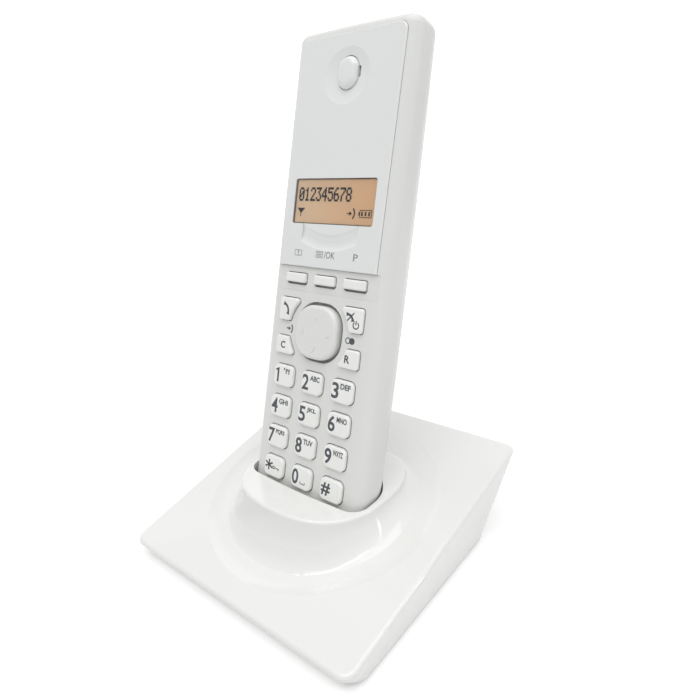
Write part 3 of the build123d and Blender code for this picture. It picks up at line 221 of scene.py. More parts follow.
class Finish(Graph):
    """A material with one glossy shader, and the tools to write what varies over its surface."""

    def __init__(self, name, **constants):
        self.material = bpy.data.materials.new(name)
        self.material.use_nodes = True
        super().__init__(self.material.node_tree)
        self.shader = self.tree.nodes["Principled BSDF"]
        for socket, value in constants.items():
            self.shader.inputs[socket.replace("_", " ")].default_value = value

    def __repr__(self):
        return self.material.name

    def place(self):
        """Where a point is on the piece, in metres."""
        return self.node("TexCoord", out="Object")

    def along(self, axis):
        """How far a point is along an axis, in metres."""
        return self.node("VectorMath", {"operation": "DOT_PRODUCT"}, {0: self.place(), 1: axis}, out="Value")

    def noise(self, size_mm, detail=2.0, roughness=0.5):
        """Soft random clouds whose lumps are about that size."""
        sockets = {"Vector": self.place(), "Scale": 1 / (size_mm * MM)}
        sockets |= {"Detail": detail, "Roughness": roughness}
        return self.node("TexNoise", None, sockets, out="Fac")

    def ramp(self, value, *stops):
        return self.node("ValToRGB", {"stops": stops}, {"Fac": value})

    def span(self, value, low, high, to_low=0.0, to_high=1.0):
        """Stretches the part of a value between low and high, and clamps the rest."""
        sockets = {"Value": value, "From Min": low, "From Max": high, "To Min": to_low, "To Max": to_high}
        return self.node("MapRange", {"clamp": True}, sockets, out="Result")

    def mix(self, share, first, second):
        """Blends two colours."""
        return self.node("Mix", {"data_type": "RGBA"}, {0: share, 6: first, 7: second}, out=2)

    def edges(self, radius_mm):
        """Near 1 on corners and small roundings: how far a softened normal leans from the true one."""
        soft = self.node("Bevel", {"samples": 4}, {"Radius": radius_mm * MM}, out="Normal")
        true = self.node("NewGeometry", out="Normal")
        match = self.node("VectorMath", {"operation": "DOT_PRODUCT"}, {0: soft, 1: true}, out="Value")
        return self.span(match, 0.97, 0.75)

    def openness(self, reach_mm):
        """1 in the open and near 0 deep in a gap: the share of rays that meet nothing within reach."""
        return self.node("AmbientOcclusion", {"samples": 6}, {"Distance": reach_mm * MM}, out="AO")

    def facing(self, axis):
        """How far the surface looks along an axis, from -1 to 1."""
        normal = self.node("NewGeometry", out="Normal")
        return self.node("VectorMath", {"operation": "DOT_PRODUCT"}, {0: normal, 1: axis}, out="Value")

    def feed(self, socket, value):
        connect(self.tree, self.shader.inputs[socket], value)

    def bump(self, height, depth_mm, strength=1.0):
        """Lets a height from 0 to 1 tilt the surface, as relief of that depth would."""
        sockets = {"Height": height, "Distance": depth_mm * MM, "Strength": strength}
        self.feed("Normal", self.node("Bump", None, sockets, out="Normal"))


print("paint(255, 255, 255) is", paint(255, 255, 255))

# %% [markdown]
# ## Table, background and lamps
# White plastic on a white table needs soft light from all round, with a little more from above,
# or the sides go grey and the edges vanish. A pale sky does most of the work. One large lamp
# overhead lifts what faces up, and three narrow strips give the curved collar its bright arcs.
# The table is white paint that glows a little, but only on rays that come from the camera, off
# gloss or through glass. So it reads as a white sheet, the polished plastic mirrors that sheet,
# and the glow lights nothing, which leaves the phone its shadow. The sky is brighter for those
# rays in the same way. The Light Path node tells the kinds of ray apart.

# %% Table and background
def grid_mesh(name, points):
    """A mesh of four-sided faces over a grid of points, an array of rows x columns x 3, in metres."""
    rows, columns = points.shape[:2]
    index = np.arange(rows * columns).reshape(rows, columns)
    quads = np.stack([index[:-1, :-1], index[:-1, 1:], index[1:, 1:], index[1:, :-1]], -1).reshape(-1, 4)
    mesh = bpy.data.meshes.new(name)
    mesh.from_pydata(points.reshape(-1, 3).tolist(), [], quads.tolist())
    return mesh


def sweep_floor(name, half, run, radius):
    """A photographer's sweep: flat, then a quarter circle of that radius, then straight up."""
    turn = np.linspace(0, pi / 2, 17)
    ahead = np.concatenate([[-half], run + radius * np.sin(turn), [run + radius]])
    rise = np.concatenate([[0], radius * (1 - np.cos(turn)), [half]])
    side = np.linspace(-half, half, 9)
    points = np.stack(np.broadcast_arrays(side[None, :], ahead[:, None], rise[:, None]), -1)
    return bpy.data.objects.new(name, grid_mesh(name, points))


floor = sweep_floor("table", 2.5, 1.2, 0.6)
floor.data.transform(Matrix.Rotation(radians(CAMERA_TURN), 4, "Z"))
floor.data.shade_smooth()
bpy.context.scene.collection.objects.link(floor)

GLOW_NEAR = 0.34
sheet = Finish("white_sheet", Roughness=0.9, Specular_IOR_Level=0.1)
sheet.feed("Base Color", sheet.mix(sheet.noise(300), paint(232, 232, 232), paint(236, 236, 236)))
distance = sheet.node("VectorMath", {"operation": "LENGTH"}, {0: sheet.place()}, out="Value")
far = sheet.span(distance, 0.14, 0.5)
near_glow = sheet.node("Emission", None, {"Color": (1, 1, 1, 1), "Strength": GLOW_NEAR})
far_glow = sheet.node("Emission", None, {"Color": (1, 1, 1, 1), "Strength": 1.0})
dark = sheet.node("Emission", None, {"Color": (0, 0, 0, 1), "Strength": 0.0})
glow = sheet.node("MixShader", None, {0: far, 1: near_glow, 2: far_glow})
only_seen = sheet.node("MixShader", None, {0: sheet.background_shows(), 1: dark, 2: glow})
both = sheet.node("AddShader", None, {0: Value(sheet.tree, sheet.shader.outputs[0]), 1: only_seen})
sheet.tree.links.new(both.socket, sheet.tree.nodes["Material Output"].inputs["Surface"])
floor.data.materials.append(sheet.material)
print("the sheet glows", GLOW_NEAR, "round the phone and 1 far from it")

# %% Sky
world = bpy.data.worlds.new("studio")
bpy.context.scene.world = world
world.use_nodes = True
sky = Graph(world.node_tree)
backdrop = sky.tree.nodes["Background"]
SKY_LIGHT = 0.525
connect(sky.tree, backdrop.inputs["Color"], (1, 1, 1, 1))
connect(sky.tree, backdrop.inputs["Strength"], SKY_LIGHT + (1 - SKY_LIGHT) * sky.background_shows())
print("sky lights the phone at", SKY_LIGHT)

# %% Lamps
def softbox(name, place, aim, width, height, watts, roll=0.0):
    """A rectangular lamp at a place, turned to face a point, all in metres, and rolled by degrees."""
    data = bpy.data.lights.new(name, "AREA")
    data.shape = "RECTANGLE"
    data.size, data.size_y = width, height
    data.energy = watts
    lamp = bpy.data.objects.new(name, data)
    away = (Vector(place) - Vector(aim)).normalized()
    facing = away.to_track_quat("Z", "Y").to_matrix().to_4x4()
    lamp.matrix_world = Matrix.Translation(place) @ facing @ Matrix.Rotation(radians(roll), 4, "Z")
    bpy.context.scene.collection.objects.link(lamp)


softbox("overhead", (0.12, -0.22, 1.25), (0, 0, 0.05), 1.2, 1.2, 6.8)
softbox("strip_front", (0.05, -0.47, 0.85), (0, 0, 0), 0.7, 0.03, 0.9)
softbox("strip_right", (0.46, -0.3, 0.85), (0, 0, 0), 0.3, 0.03, 0.4)
softbox("strip_side", (0.674, 0.213, 0.42), (0.03, 0, 0.02), 0.9, 0.03, 0.5, roll=103)

# %% [markdown]
# ## White moulded plastic
# Every outer part is injection-moulded ABS, and it is never one flat white. Its tone drifts a
# little over centimetres, the polished faces carry a faint orange peel, the satin ones a fine
# grain, and handling leaves soft smudges that only show in the gloss. Edges are rubbed a bit
# brighter and duller. A Bevel node finds those edges: where a softened normal leans away from the
# true one, there is a corner. An Ambient Occlusion node finds the opposite, the gaps round the
# keys and between the shells. There the colour is painted darker, towards a dark grey, as shade
# that falls in the gaps, and most on the undersides of the keys. One function writes all of
# this, with other numbers for each finish.

# %% White plastic
RUBBED = paint(246, 246, 244)
# Painted shade: the dark grey that the colour turns towards in gaps and under the keys.
GAP_SHADE = paint(70, 70, 74)


def shade(colour, share):
    """The same colour, darker or lighter by a share."""
    return (*(share * part for part in colour[:3]), 1.0)


def white_plastic(name, colour, roughness, lump_mm, relief_mm, **constants):
    made = Finish(name, IOR=1.49, **constants)
    cloud = made.noise(34)
    lumps = made.noise(lump_mm, 3)
    smudge = made.noise(9, 1)
    worn = made.edges(0.4)
    free = made.openness(1.4)
    # Painted shade: the colour darkens deep in gaps, and more on surfaces that face down under a key, where
    # shade falls.
    gap, depth = made.span(free, 0.7, 0.15), made.span(free, 0.22, 0.04)
    under = made.span(made.facing(UP), -0.1, -0.8)
    shadow = 0.3 * gap + 0.35 * gap * under + 0.3 * depth
    tone = made.mix(cloud, shade(colour, 0.985), shade(colour, 1.01))
    tone = made.mix(worn * 0.3, tone, RUBBED)
    made.feed("Base Color", made.mix(shadow, tone, GAP_SHADE))
    made.feed("Roughness", roughness + 0.03 * (cloud - 0.5) + 0.03 * (smudge - 0.5) + 0.05 * worn + 0.4 * gap)
    made.bump(lumps, relief_mm)
    return made


base_gloss = white_plastic("base_gloss", paint(238, 238, 236), 0.08, 5.0, 0.008, Coat_Weight=0.25)
handset_satin = white_plastic("handset_satin", paint(228, 229, 226), 0.32, 2.5, 0.004)
panel_gloss = white_plastic("panel_gloss", paint(232, 234, 233), 0.07, 6.0, 0.008, Coat_Weight=0.4)
key_satin = white_plastic("key_satin", paint(243, 244, 241), 0.34, 2.0, 0.004)
nav_satin = white_plastic("nav_satin", paint(230, 231, 228), 0.34, 3.0, 0.004)
tray_white = white_plastic("tray_white", paint(222, 222, 218), 0.5, 0.6, 0.02)
print("white plastics:", [base_gloss, handset_satin, panel_gloss, key_satin, nav_satin, tray_white])

# %% [markdown]
# ## Printing ink and the display's colours
# Key legends are tampon-printed in a dark slate grey, a layer of ink a few hundredths of a
# millimetre thick whose density varies a little. The display is an amber-lit panel of liquid
# crystal: its light guide is brighter on one side, and a very fine grid of unlit dots lies over
# it. Its dark segments are nearly black with a brown cast.

# %% Ink
def ink(name, colour, roughness):
    made = Finish(name, Roughness=roughness)
    density = made.noise(0.8, 3)
    made.feed("Base Color", made.mix(density, shade(colour, 0.85), shade(colour, 1.2)))
    made.feed("Roughness", roughness + 0.15 * (density - 0.5))
    made.bump(density, 0.004)
    return made


legend_ink = ink("legend_ink", paint(74, 75, 83), 0.45)
fascia_ink = ink("fascia_ink", paint(124, 127, 128), 0.4)
segment_ink = ink("segment_ink", paint(22, 12, 18), 0.5)
# Painted shade: a brown-grey for the thin ring round the display sheet, standing in for the shaded wall of the
# window.
frame_ink = ink("frame_ink", paint(126, 112, 100), 0.5)
print("inks:", [legend_ink, fascia_ink, segment_ink, frame_ink])

# %% Amber display
DOT_ACROSS = 0.395
DOT_UP = 0.61


def amber_panel():
    made = Finish("amber_panel", Roughness=0.3, Emission_Strength=0.13)
    level = made.along(ACROSS)
    height = made.along(UP)
    guide = made.span(level, -0.016, 0.016) + 0.25 * (made.noise(14) - 0.5)
    grid = (level.wave(DOT_ACROSS * MM) > 0.9).or_more(height.wave(DOT_UP * MM) > 0.9)
    lit = made.mix(guide, paint(240, 213, 182), paint(236, 194, 150))
    lit = made.mix(0.12 * grid, lit, paint(120, 90, 70))
    made.feed("Base Color", lit)
    made.feed("Emission Color", lit)
    made.feed("Roughness", 0.28 + 0.1 * made.noise(2))
    made.bump(grid, 0.005)
    return made


amber = amber_panel()
print(amber, "has a dot every", DOT_ACROSS, "by", DOT_UP, "mm")

# %% [markdown]
# ## Clear lens
# The window is a thin block of clear acrylic. Glass that really bends light is slow and noisy,
# and the light that should reach the display through it gets lost. So the sheet is mostly
# see-through, and its Alpha rises with the Fresnel node at a slant. There it shows the shader's
# own gloss, and also its near-white base colour, which is a painted reflection: a white haze in
# place of mirrored light.

# %% Clear lens
def clear_acrylic():
    made = Finish("clear_acrylic", Roughness=0.03, IOR=1.49)
    slant = made.node("Fresnel", None, {"IOR": 1.49}, out="Fac")
    scuffs = made.span(made.noise(1.2, 6), 0.62, 0.8)
    # Painted reflection: this near-white base colour shows wherever Alpha rises at a slant, as a white haze
    # that stands in for mirrored light.
    made.feed("Base Color", made.mix(scuffs, paint(238, 242, 244), paint(250, 250, 250)))
    made.feed("Roughness", 0.03 + 0.12 * scuffs)
    made.feed("Alpha", 0.008 + 0.8 * slant + 0.03 * scuffs)
    return made


lens_clear = clear_acrylic()
print(lens_clear, "has", len(lens_clear.tree.nodes), "nodes")

# %% [markdown]
# ## Metals, rubber and the parts inside
# The charging contacts and the springs are nickel-plated spring steel, with fine lines left by the
# rollers, and the wires in the telephone socket are gilt. Screws are darker and coarser. Rubber is
# nearly black and matt on the feet, and milky white under the keys. The circuit boards are green
# lacquer over copper tracks, drawn with a Brick texture, and the cells wear a printed sleeve with a
# silver band at each end.

# %% Metals
def metal(name, colour, roughness, line_mm):
    """Rolled or turned metal: noise stretched along one direction makes its fine lines."""
    made = Finish(name, Metallic=1.0)
    drawn = made.node("Mapping", None, {"Vector": made.place(), "Scale": (1.0, 0.08, 1.0)})
    sockets = {"Vector": drawn, "Scale": 1 / (line_mm * MM), "Detail": 3.0}
    lines = made.node("TexNoise", None, sockets, out="Fac")
    stain = made.span(made.noise(3, 4), 0.55, 0.8)
    made.feed("Base Color", made.mix(0.35 * stain + 0.2 * lines, colour, shade(colour, 0.62)))
    made.feed("Roughness", roughness + 0.18 * (lines - 0.5) + 0.15 * stain)
    made.bump(lines, 0.01)
    return made


spring_steel = metal("spring_steel", paint(205, 203, 196), 0.26, 0.25)
screw_steel = metal("screw_steel", paint(150, 150, 152), 0.38, 0.5)
can_metal = metal("can_metal", paint(188, 189, 190), 0.3, 0.6)
gilt = metal("gilt", paint(214, 178, 92), 0.25, 0.2)
print("metals:", [spring_steel, screw_steel, can_metal, gilt])


# %% Rubber, black plastic, boards and cells
def rubber(name, colour):
    made = Finish(name, Specular_IOR_Level=0.3)
    grain = made.noise(0.3, 4)
    dust = made.span(made.noise(4, 3), 0.5, 0.8)
    made.feed("Base Color", made.mix(0.3 * dust, colour, paint(150, 148, 142)))
    made.feed("Roughness", 0.72 + 0.2 * grain)
    made.bump(grain, 0.03)
    return made


def circuit_lacquer():
    made = Finish("circuit_lacquer", IOR=1.5)
    sockets = {
        "Vector": made.place(),
        "Color1": paint(30, 96, 58),
        "Color2": paint(38, 112, 68),
        "Mortar": paint(62, 134, 84),
        "Scale": 420.0,
        "Mortar Size": 0.07,
    }
    tracks = made.node("TexBrick", {"offset": 0.35}, sockets, out="Color")
    raised = made.node("TexBrick", {"offset": 0.35}, sockets, out="Fac")
    made.feed("Base Color", made.mix(0.25 * made.noise(6), tracks, paint(20, 70, 44)))
    made.feed("Roughness", 0.3 + 0.15 * made.noise(2))
    made.bump(raised, 0.03)
    return made


def plus_is_up(side):
    """A cell's plus end touches the flat contact, and the contacts are at opposite ends."""
    return own_box(f"battery_contact_{side}")[0][1] > own_box(f"battery_cell_{side}")[0][1]


def cell_sleeve(side):
    """A printed sleeve, whose bands are placed by the share of the way from minus to plus."""
    made = Finish(f"cell_sleeve_{side}", IOR=1.5)
    low, high = (corner[1] * MM for corner in own_box(f"battery_cell_{side}"))
    share = made.span(made.along(UP), low, high) if plus_is_up(side) else made.span(made.along(UP), high, low)
    silver = paint(196, 197, 199)
    stops = (
        (0.0, silver),
        (0.06, silver),
        (0.07, paint(40, 96, 140)),
        (0.66, paint(46, 106, 152)),
        (0.67, paint(228, 229, 228)),
        (0.94, paint(224, 225, 224)),
        (0.95, silver),
    )
    bands = made.ramp(share, *stops)
    made.feed("Base Color", made.mix(0.12 * made.noise(2, 4), bands, paint(60, 60, 62)))
    made.feed("Metallic", (share > 0.945) + (share < 0.065))
    made.feed("Roughness", 0.29 + 0.14 * made.noise(3, 3))
    made.bump(made.noise(1.5), 0.01)
    return made


foot_rubber = rubber("foot_rubber", paint(46, 46, 48))
sheet_rubber = rubber("sheet_rubber", paint(206, 206, 200))
black_plastic = rubber("black_plastic", paint(38, 38, 40))
board_green = circuit_lacquer()
sleeve_left = cell_sleeve("left")
sleeve_right = cell_sleeve("right")
cell_ink = ink("cell_ink", paint(226, 227, 229), 0.35)


def woven_cloth():
    """Threads both ways: each row of them is a sine, and the higher of the two is the one on top."""
    made = Finish("woven_cloth", Specular_IOR_Level=0.2)
    weave = made.along(ACROSS).wave(0.5 * MM).or_more(made.along(UP).wave(0.5 * MM))
    made.feed("Base Color", made.mix(made.span(weave, -0.3, 1.0), paint(24, 24, 26), paint(84, 84, 88)))
    made.feed("Roughness", 0.75 + 0.2 * made.noise(1))
    made.bump(weave, 0.05)
    return made


cloth = woven_cloth()
others = [foot_rubber, sheet_rubber, black_plastic, board_green, sleeve_left, sleeve_right, cloth]
print("other finishes:", others)

# %% [markdown]
# ## Dressing the solids
# Each solid gets its finish by name. Keys are found by how their names begin or end, so that a
# new key would be dressed like its neighbours.

# %% Finishes of the solids
DRESS = {
    base_gloss: ["base_top_housing", "base_bottom_cover"],
    handset_satin: ["handset_front_shell", "handset_rear_shell", "battery_cover"],
    panel_gloss: ["fascia_panel", "earpiece_cap"],
    lens_clear: ["display_lens"],
    amber: ["lcd_panel"],
    tray_white: ["lcd_backlight"],
    foot_rubber: ["rubber_feet"],
    sheet_rubber: ["key_sheet", "nav_pivot"],
    board_green: ["base_circuit_board", "handset_board"],
    screw_steel: ["base_screws", "handset_screws"],
    can_metal: ["earpiece_speaker", "ringer_speaker", "microphone"],
    black_plastic: ["line_jack", "power_jack"],
    sleeve_left: ["battery_cell_left"],
    sleeve_right: ["battery_cell_right"],
    spring_steel: [name for name in nodes if "spring" in name or "contact" in name or "terminal" in name],
    nav_satin: ["nav_key"],
    key_satin: [name for name in nodes if "key" in name and name not in ("key_sheet", "nav_key")],
}
dressed = {name: made for made, names in DRESS.items() for name in names}
for name, solid in nodes.items():
    solid.data.materials.clear()
    solid.data.materials.append(dressed[name].material)
print("dressed", len(dressed), "of", len(nodes))

# %% [markdown]
# ## Thin shapes, worked out as arrays
# Printing, display segments, wires and the ring of painted shade round the display are all the
# same kind of thing: an outline carried from ring to ring. `rings` turns an array of rings into a
# closed mesh. `ribbon` makes such rings from a line and its half widths, and `plate` from a
# closed outline. Everything is drawn flat, in millimetres, and one matrix lays it on the handset.

# %% Rings, ribbons and plates
INK_RISE = 0.03
INK_ROOT = 0.02


def rings(points, closed=False):
    """A closed mesh through rings of points, an array of rings x points x 3. Each face joins a
    point and the next one of its ring to the same two of the next ring. The last ring joins the
    first where closed, and otherwise both end rings are filled."""
    count, around = points.shape[:2]
    index = np.arange(count * around).reshape(count, around)
    ahead = np.roll(index, -1, 0) if closed else index[1:]
    here = index if closed else index[:-1]
    quads = np.stack([here, np.roll(here, -1, 1), np.roll(ahead, -1, 1), ahead], -1).reshape(-1, 4).tolist()
    ends = [] if closed else [index[0][::-1].tolist(), index[-1].tolist()]
    mesh = bpy.data.meshes.new("rings")
    mesh.from_pydata(points.reshape(-1, 3).tolist(), [], quads + ends)
    return mesh


def ribbon(line, half_width, low=-INK_ROOT, high=INK_RISE, closed=False):
    """A flat ribbon along a line of x, y points. Each point is set off to both sides by half the
    width, square to the line's direction, at a low and at a high level."""
    line = np.asarray(line, float)
    if closed:
        ahead = np.roll(line, -1, 0) - np.roll(line, 1, 0)
    else:
        ahead = np.gradient(line, axis=0)
    ahead /= np.linalg.norm(ahead, axis=1, keepdims=True)
    side = np.stack([-ahead[:, 1], ahead[:, 0]], 1) * np.broadcast_to(half_width, len(line))[:, None]
    flat = np.stack([line + side, line - side, line - side, line + side], 1)
    level = np.broadcast_to([high, high, low, low], flat.shape[:2])
    return rings(np.concatenate([flat, level[..., None]], 2), closed)


def plate(outline, low=-INK_ROOT, high=INK_RISE):
    """An outline of x, y points, filled, between a low and a high level."""
    outline = np.asarray(outline, float)
    levels = [np.column_stack([outline, np.full(len(outline), level)]) for level in (low, high)]
    return rings(np.stack(levels))


def arc(centre, radius, start, end, count=24):
    """Points on a circle, from one angle to another, in degrees."""
    turn = np.radians(np.linspace(start, end, count))
    return np.column_stack([centre[0] + radius * np.cos(turn), centre[1] + radius * np.sin(turn)])


def rounded(width, height, corner, grow=0.0, steps=7):
    """Outline of a rectangle about the origin with round corners: four quarter circles."""
    reach = np.array([width / 2 - corner, height / 2 - corner])
    signs = np.array([(1, 1), (-1, 1), (-1, -1), (1, -1)])
    arcs = [arc(reach * s, corner + grow, 90 * i, 90 * (i + 1), steps) for i, s in enumerate(signs)]
    return np.concatenate(arcs)


def lettering(words, height, width=None, weight=0.0):
    """Words as a thin solid about the origin, stretched to a height and, if given, a width, in mm."""
    curve = bpy.data.curves.new("words", "FONT")
    curve.body = words
    curve.resolution_u = 4
    curve.offset = weight / height
    curve.extrude = 0.1
    holder = bpy.data.objects.new("words", curve)
    bpy.context.scene.collection.objects.link(holder)
    holder = holder.evaluated_get(bpy.context.evaluated_depsgraph_get())
    mesh = bpy.data.meshes.new_from_object(holder)
    bpy.data.objects.remove(holder.original)
    points = points_of(mesh)
    low, high = points.min(0), points.max(0)
    stretch = height / (high[1] - low[1])
    points[:, 0] = (points[:, 0] - (low[0] + high[0]) / 2) * (width / (high[0] - low[0]) if width else stretch)
    points[:, 1] = (points[:, 1] - (low[1] + high[1]) / 2) * stretch
    points[:, 2] = np.where(points[:, 2] > 0, INK_RISE, -INK_ROOT)
    mesh.vertices.foreach_set("co", points.ravel())
    return mesh


def moved(mesh, x, y, turn=0.0):
    """The same flat mesh, turned by some degrees and set elsewhere on its sheet."""
    mesh.transform(Matrix.Translation((x, y, 0)) @ Matrix.Rotation(radians(turn), 4, "Z"))
    return mesh


def wrapped(mesh, radius):
    """A flat mesh bent round a cylinder that runs along y: x / radius becomes the angle."""
    x, y, z = points_of(mesh).T
    bent = np.stack([(radius + z) * np.sin(x / radius), y, (radius + z) * np.cos(x / radius) - radius], 1)
    mesh.vertices.foreach_set("co", bent.ravel())
    return mesh


def piece(name, meshes, finish, body, place):
    """One object from several meshes: doubles merged, faces turned outwards, its place put in its
    mesh, its finish on it, riding on a body."""
    whole = bmesh.new()
    for mesh in meshes:
        whole.from_mesh(mesh)
        bpy.data.meshes.remove(mesh)
    bmesh.ops.remove_doubles(whole, verts=whole.verts, dist=1e-4)
    bmesh.ops.recalc_face_normals(whole, faces=whole.faces)
    made = bpy.data.meshes.new(name)
    whole.to_mesh(made)
    whole.free()
    made.transform(place)
    made.materials.append(finish.material)
    obj = bpy.data.objects.new(name, made)
    bpy.context.scene.collection.objects.link(obj)
    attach(obj, body)
    print(name, "has", len(made.polygons), "faces and rides on", body)
    return obj


def laid(across, up, out, axes=LEAN):
    """The matrix that lays a flat sheet, in mm, at a place along some axes, as a rule the handset's."""
    return axes @ Matrix.Translation(Vector((across, up, out)) * MM) @ Matrix.Scale(MM, 4)


print("ink stands", INK_RISE, "mm proud")

# %% [markdown]
# ## Legends on the twelve dialling keys
# Each key carries its number large on the left, and its letters small beside the top of it. The
# words are ordinary text objects, turned into meshes and stretched to the size of the print: the
# number 4.9 mm tall and its letters 1.7 mm. They lie on the flat of the key, whose height and
# place come from the key's own box, and they ride on the key, so they go down with it.

# %% Dialling keys
NUMBER_HEIGHT = 4.9
LETTER_HEIGHT = 1.7


def key_top(node, axes=LEAN):
    """Middle of a key, and the height of its flat face, in mm."""
    low, high = own_box(node, axes)
    return (low[0] + high[0]) / 2, (low[1] + high[1]) / 2, high[2]


def star():
    """Three crossed strokes."""
    return [moved(ribbon([(-1.75, 0), (1.75, 0)], 0.28), -1.9, 0.3, turn) for turn in (90, 30, -30)]


def one():
    """A bar with a short flag, as wide as the strokes of the other numbers."""
    return [moved(ribbon([(-1.1, 1.35), (-0.1, 2.2), (-0.1, -2.45)], 0.36), -2.0, 0.1)]


def lock_sign():
    """A little key: a ring, a shaft and its tooth."""
    ring = ribbon(arc((0.2, -0.2), 0.42, 0, 345, 16), 0.14, closed=True)
    return [ring, ribbon([(0.6, -0.2), (2.6, -0.2)], 0.15), ribbon([(2.3, -0.2), (2.3, -0.75)], 0.15)]


def space_sign():
    """An open tray, the sign for a space."""
    return [ribbon([(0.0, -0.95), (0.0, -1.6), (1.9, -1.6), (1.9, -0.95)], 0.13)]


LETTERS = {
    "1": "'?!", "2": "ABC", "3": "DEF", "4": "GHI", "5": "JKL",
    "6": "MNO", "7": "PQRS", "8": "TUV", "9": "WXYZ",
}
for number in "1234567890":
    if number == "1":
        sheet_of = one()
    else:
        sheet_of = [moved(lettering(number, NUMBER_HEIGHT, 2.65, 0.1), -2.2, 0.1)]
    if number in LETTERS:
        word = LETTERS[number]
        sheet_of.append(moved(lettering(word, LETTER_HEIGHT, 2.6 if number == "1" else 3.8, 0.05), 1.5, 1.7))
    else:
        sheet_of += space_sign()
    node = f"key_{number}"
    piece(f"legend_{number}", sheet_of, legend_ink, node, laid(*key_top(node)))
piece("legend_star", star() + lock_sign(), legend_ink, "key_star", laid(*key_top("key_star")))
hash_sign = [moved(lettering("#", 4.0, 3.5, 0.1), -1.7, 0.1)]
piece("legend_hash", hash_sign, legend_ink, "key_hash", laid(*key_top("key_hash")))

# %% [markdown]
# ## Call keys and the signs between them
# The talk key shows a handset, and the off key a struck-out handset and an on/off sign. A handset
# is one ribbon along an arc whose width swells at both ends: half width = w0 + w1 |2t - 1|^4, for
# t from 0 to 1 along it. C and R are plain letters.

# %% Call keys
def handset_sign(radius, thin, thick):
    """An arc of 100 degrees whose ends swell into the ear and mouth pieces."""
    along = np.linspace(-1, 1, 25)
    width = thin + (thick - thin) * np.abs(along) ** 4
    return ribbon(arc((-radius * 0.8, 0), radius, -50, 50, 25), width)


def key_print(name, meshes, node):
    """Printing that is laid out from a key's own middle."""
    piece(name, meshes, legend_ink, node, laid(*key_top(node)))


talk_sign = [moved(handset_sign(2.6, 0.34, 0.66), -0.7, 0.2, 30)]
key_print("legend_talk", talk_sign, "talk_key")
off_sign = [
    moved(handset_sign(2.1, 0.34, 0.68), -0.45, 0.9, 52),
    moved(ribbon([(-1.7, 0), (1.7, 0)], 0.2), -0.3, 1.0, 48),
    moved(ribbon(arc((0, 0), 1.0, 125, 415), 0.18), 1.9, -1.3),
    moved(ribbon([(0, 0.1), (0, 1.35)], 0.18), 1.9, -1.3),
]
key_print("legend_off", off_sign, "off_key")
key_print("legend_clear", [moved(lettering("C", 2.3, 1.9, 0.06), -0.4, 0)], "clear_key")
key_print("legend_recall", [moved(lettering("R", 2.4, 1.9, 0.06), -0.2, 0)], "recall_key")

# %% Signs on the shell, beside the navigation key
nav_low, nav_high = own_box("nav_key")
NAV_UP = (nav_low[1] + nav_high[1]) / 2
shell_front = own_box("handset_front_shell")[1][2]
arrow = [
    ribbon([(-1.7, 0), (-0.4, 0)], 0.18),
    plate([(-0.8, 0.65), (0.15, 0), (-0.8, -0.65)]),
    ribbon(arc((-1.3, 0), 2.1, -38, 38, 12), 0.24),
]
piece("sign_intercom", arrow, legend_ink, "handset", laid(-12.0, NAV_UP - 0.6, shell_front))
discs = [
    ribbon(arc((-0.75, 0), 0.85, 0, 345, 24), 0.15, closed=True),
    plate(arc((0.75, 0), 1.0, 0, 345, 24)),
]
piece("sign_redial", discs, legend_ink, "handset", laid(12.2, NAV_UP - 0.6, shell_front))
print("shell front at", round(shell_front, 3), "mm, navigation key at", round(NAV_UP, 2), "mm up")

# %% [markdown]
# ## Signs over the three soft keys
# A book, a menu with OK, and a P are printed on the glossy panel, in a paler grey and a thinner
# line than on the keys.

# %% Soft key signs
panel_low, panel_high = own_box("fascia_panel")
SIGN_UP = panel_low[1] + 4.3
book = [
    ribbon(rounded(3.0, 1.9, 0.25, -0.08), 0.08, closed=True),
    ribbon([(0, -0.95), (0, 0.95)], 0.08),
    ribbon([(-0.45, 0.35), (0.45, 0.35)], 0.07),
]
menu = [ribbon(rounded(2.7, 2.1, 0.2, -0.08), 0.08, closed=True)]
menu += [ribbon([(-0.9, y), (0.9, y)], 0.1) for y in (-0.5, 0.0, 0.5)]
signs = [moved(mesh, -11.7, 0) for mesh in book] + [moved(mesh, -2.9, 0) for mesh in menu]
signs += [moved(lettering("/OK", 2.1, 4.2), 1.1, 0), moved(lettering("P", 2.1, 1.6), 11.1, 0)]
piece("sign_soft_keys", signs, fascia_ink, "handset", laid(0, SIGN_UP, panel_high[2]))

# %% [markdown]
# ## The display
# Behind the lens lies a sheet that shows the number being dialled, in dots. Each digit is five
# dots wide and seven tall. It is written here as seven rows of ones and zeros, and one array
# operation turns all the ones into little tiles. Signal, intercom and battery signs are solid
# segments below the digits. A thin dark ring round the sheet is painted shade: it stands for the
# wall of the window, which lies in shade between the sheet and the white panel.

# %% Display sheet and its painted shade ring
lens_low, lens_high = own_box("display_lens")
LENS_WIDTH, LENS_HEIGHT = lens_high[0] - lens_low[0], lens_high[1] - lens_low[1]
LENS_UP = (lens_low[1] + lens_high[1]) / 2
SHEET_BEHIND = 0.55
SHEET_THICK = 0.2
SHADE_RING_WIDTH = 0.12
on_sheet = laid(0, LENS_UP, lens_high[2] - SHEET_BEHIND)
sheet_outline = rounded(LENS_WIDTH, LENS_HEIGHT, 0.7, -SHADE_RING_WIDTH)
piece("display_sheet", [plate(sheet_outline, -SHEET_THICK, 0)], amber, "handset", on_sheet)
# Painted shade: a dark ring round the sheet, where the window's wall lies in shade.
shade_ring_line = rounded(LENS_WIDTH, LENS_HEIGHT, 0.7, -SHADE_RING_WIDTH)
shade_ring_mesh = ribbon(shade_ring_line, SHADE_RING_WIDTH * 0.8, -SHEET_THICK / 2, SHEET_BEHIND * 0.6, closed=True)
piece("display_frame", [shade_ring_mesh], frame_ink, "handset", on_sheet)

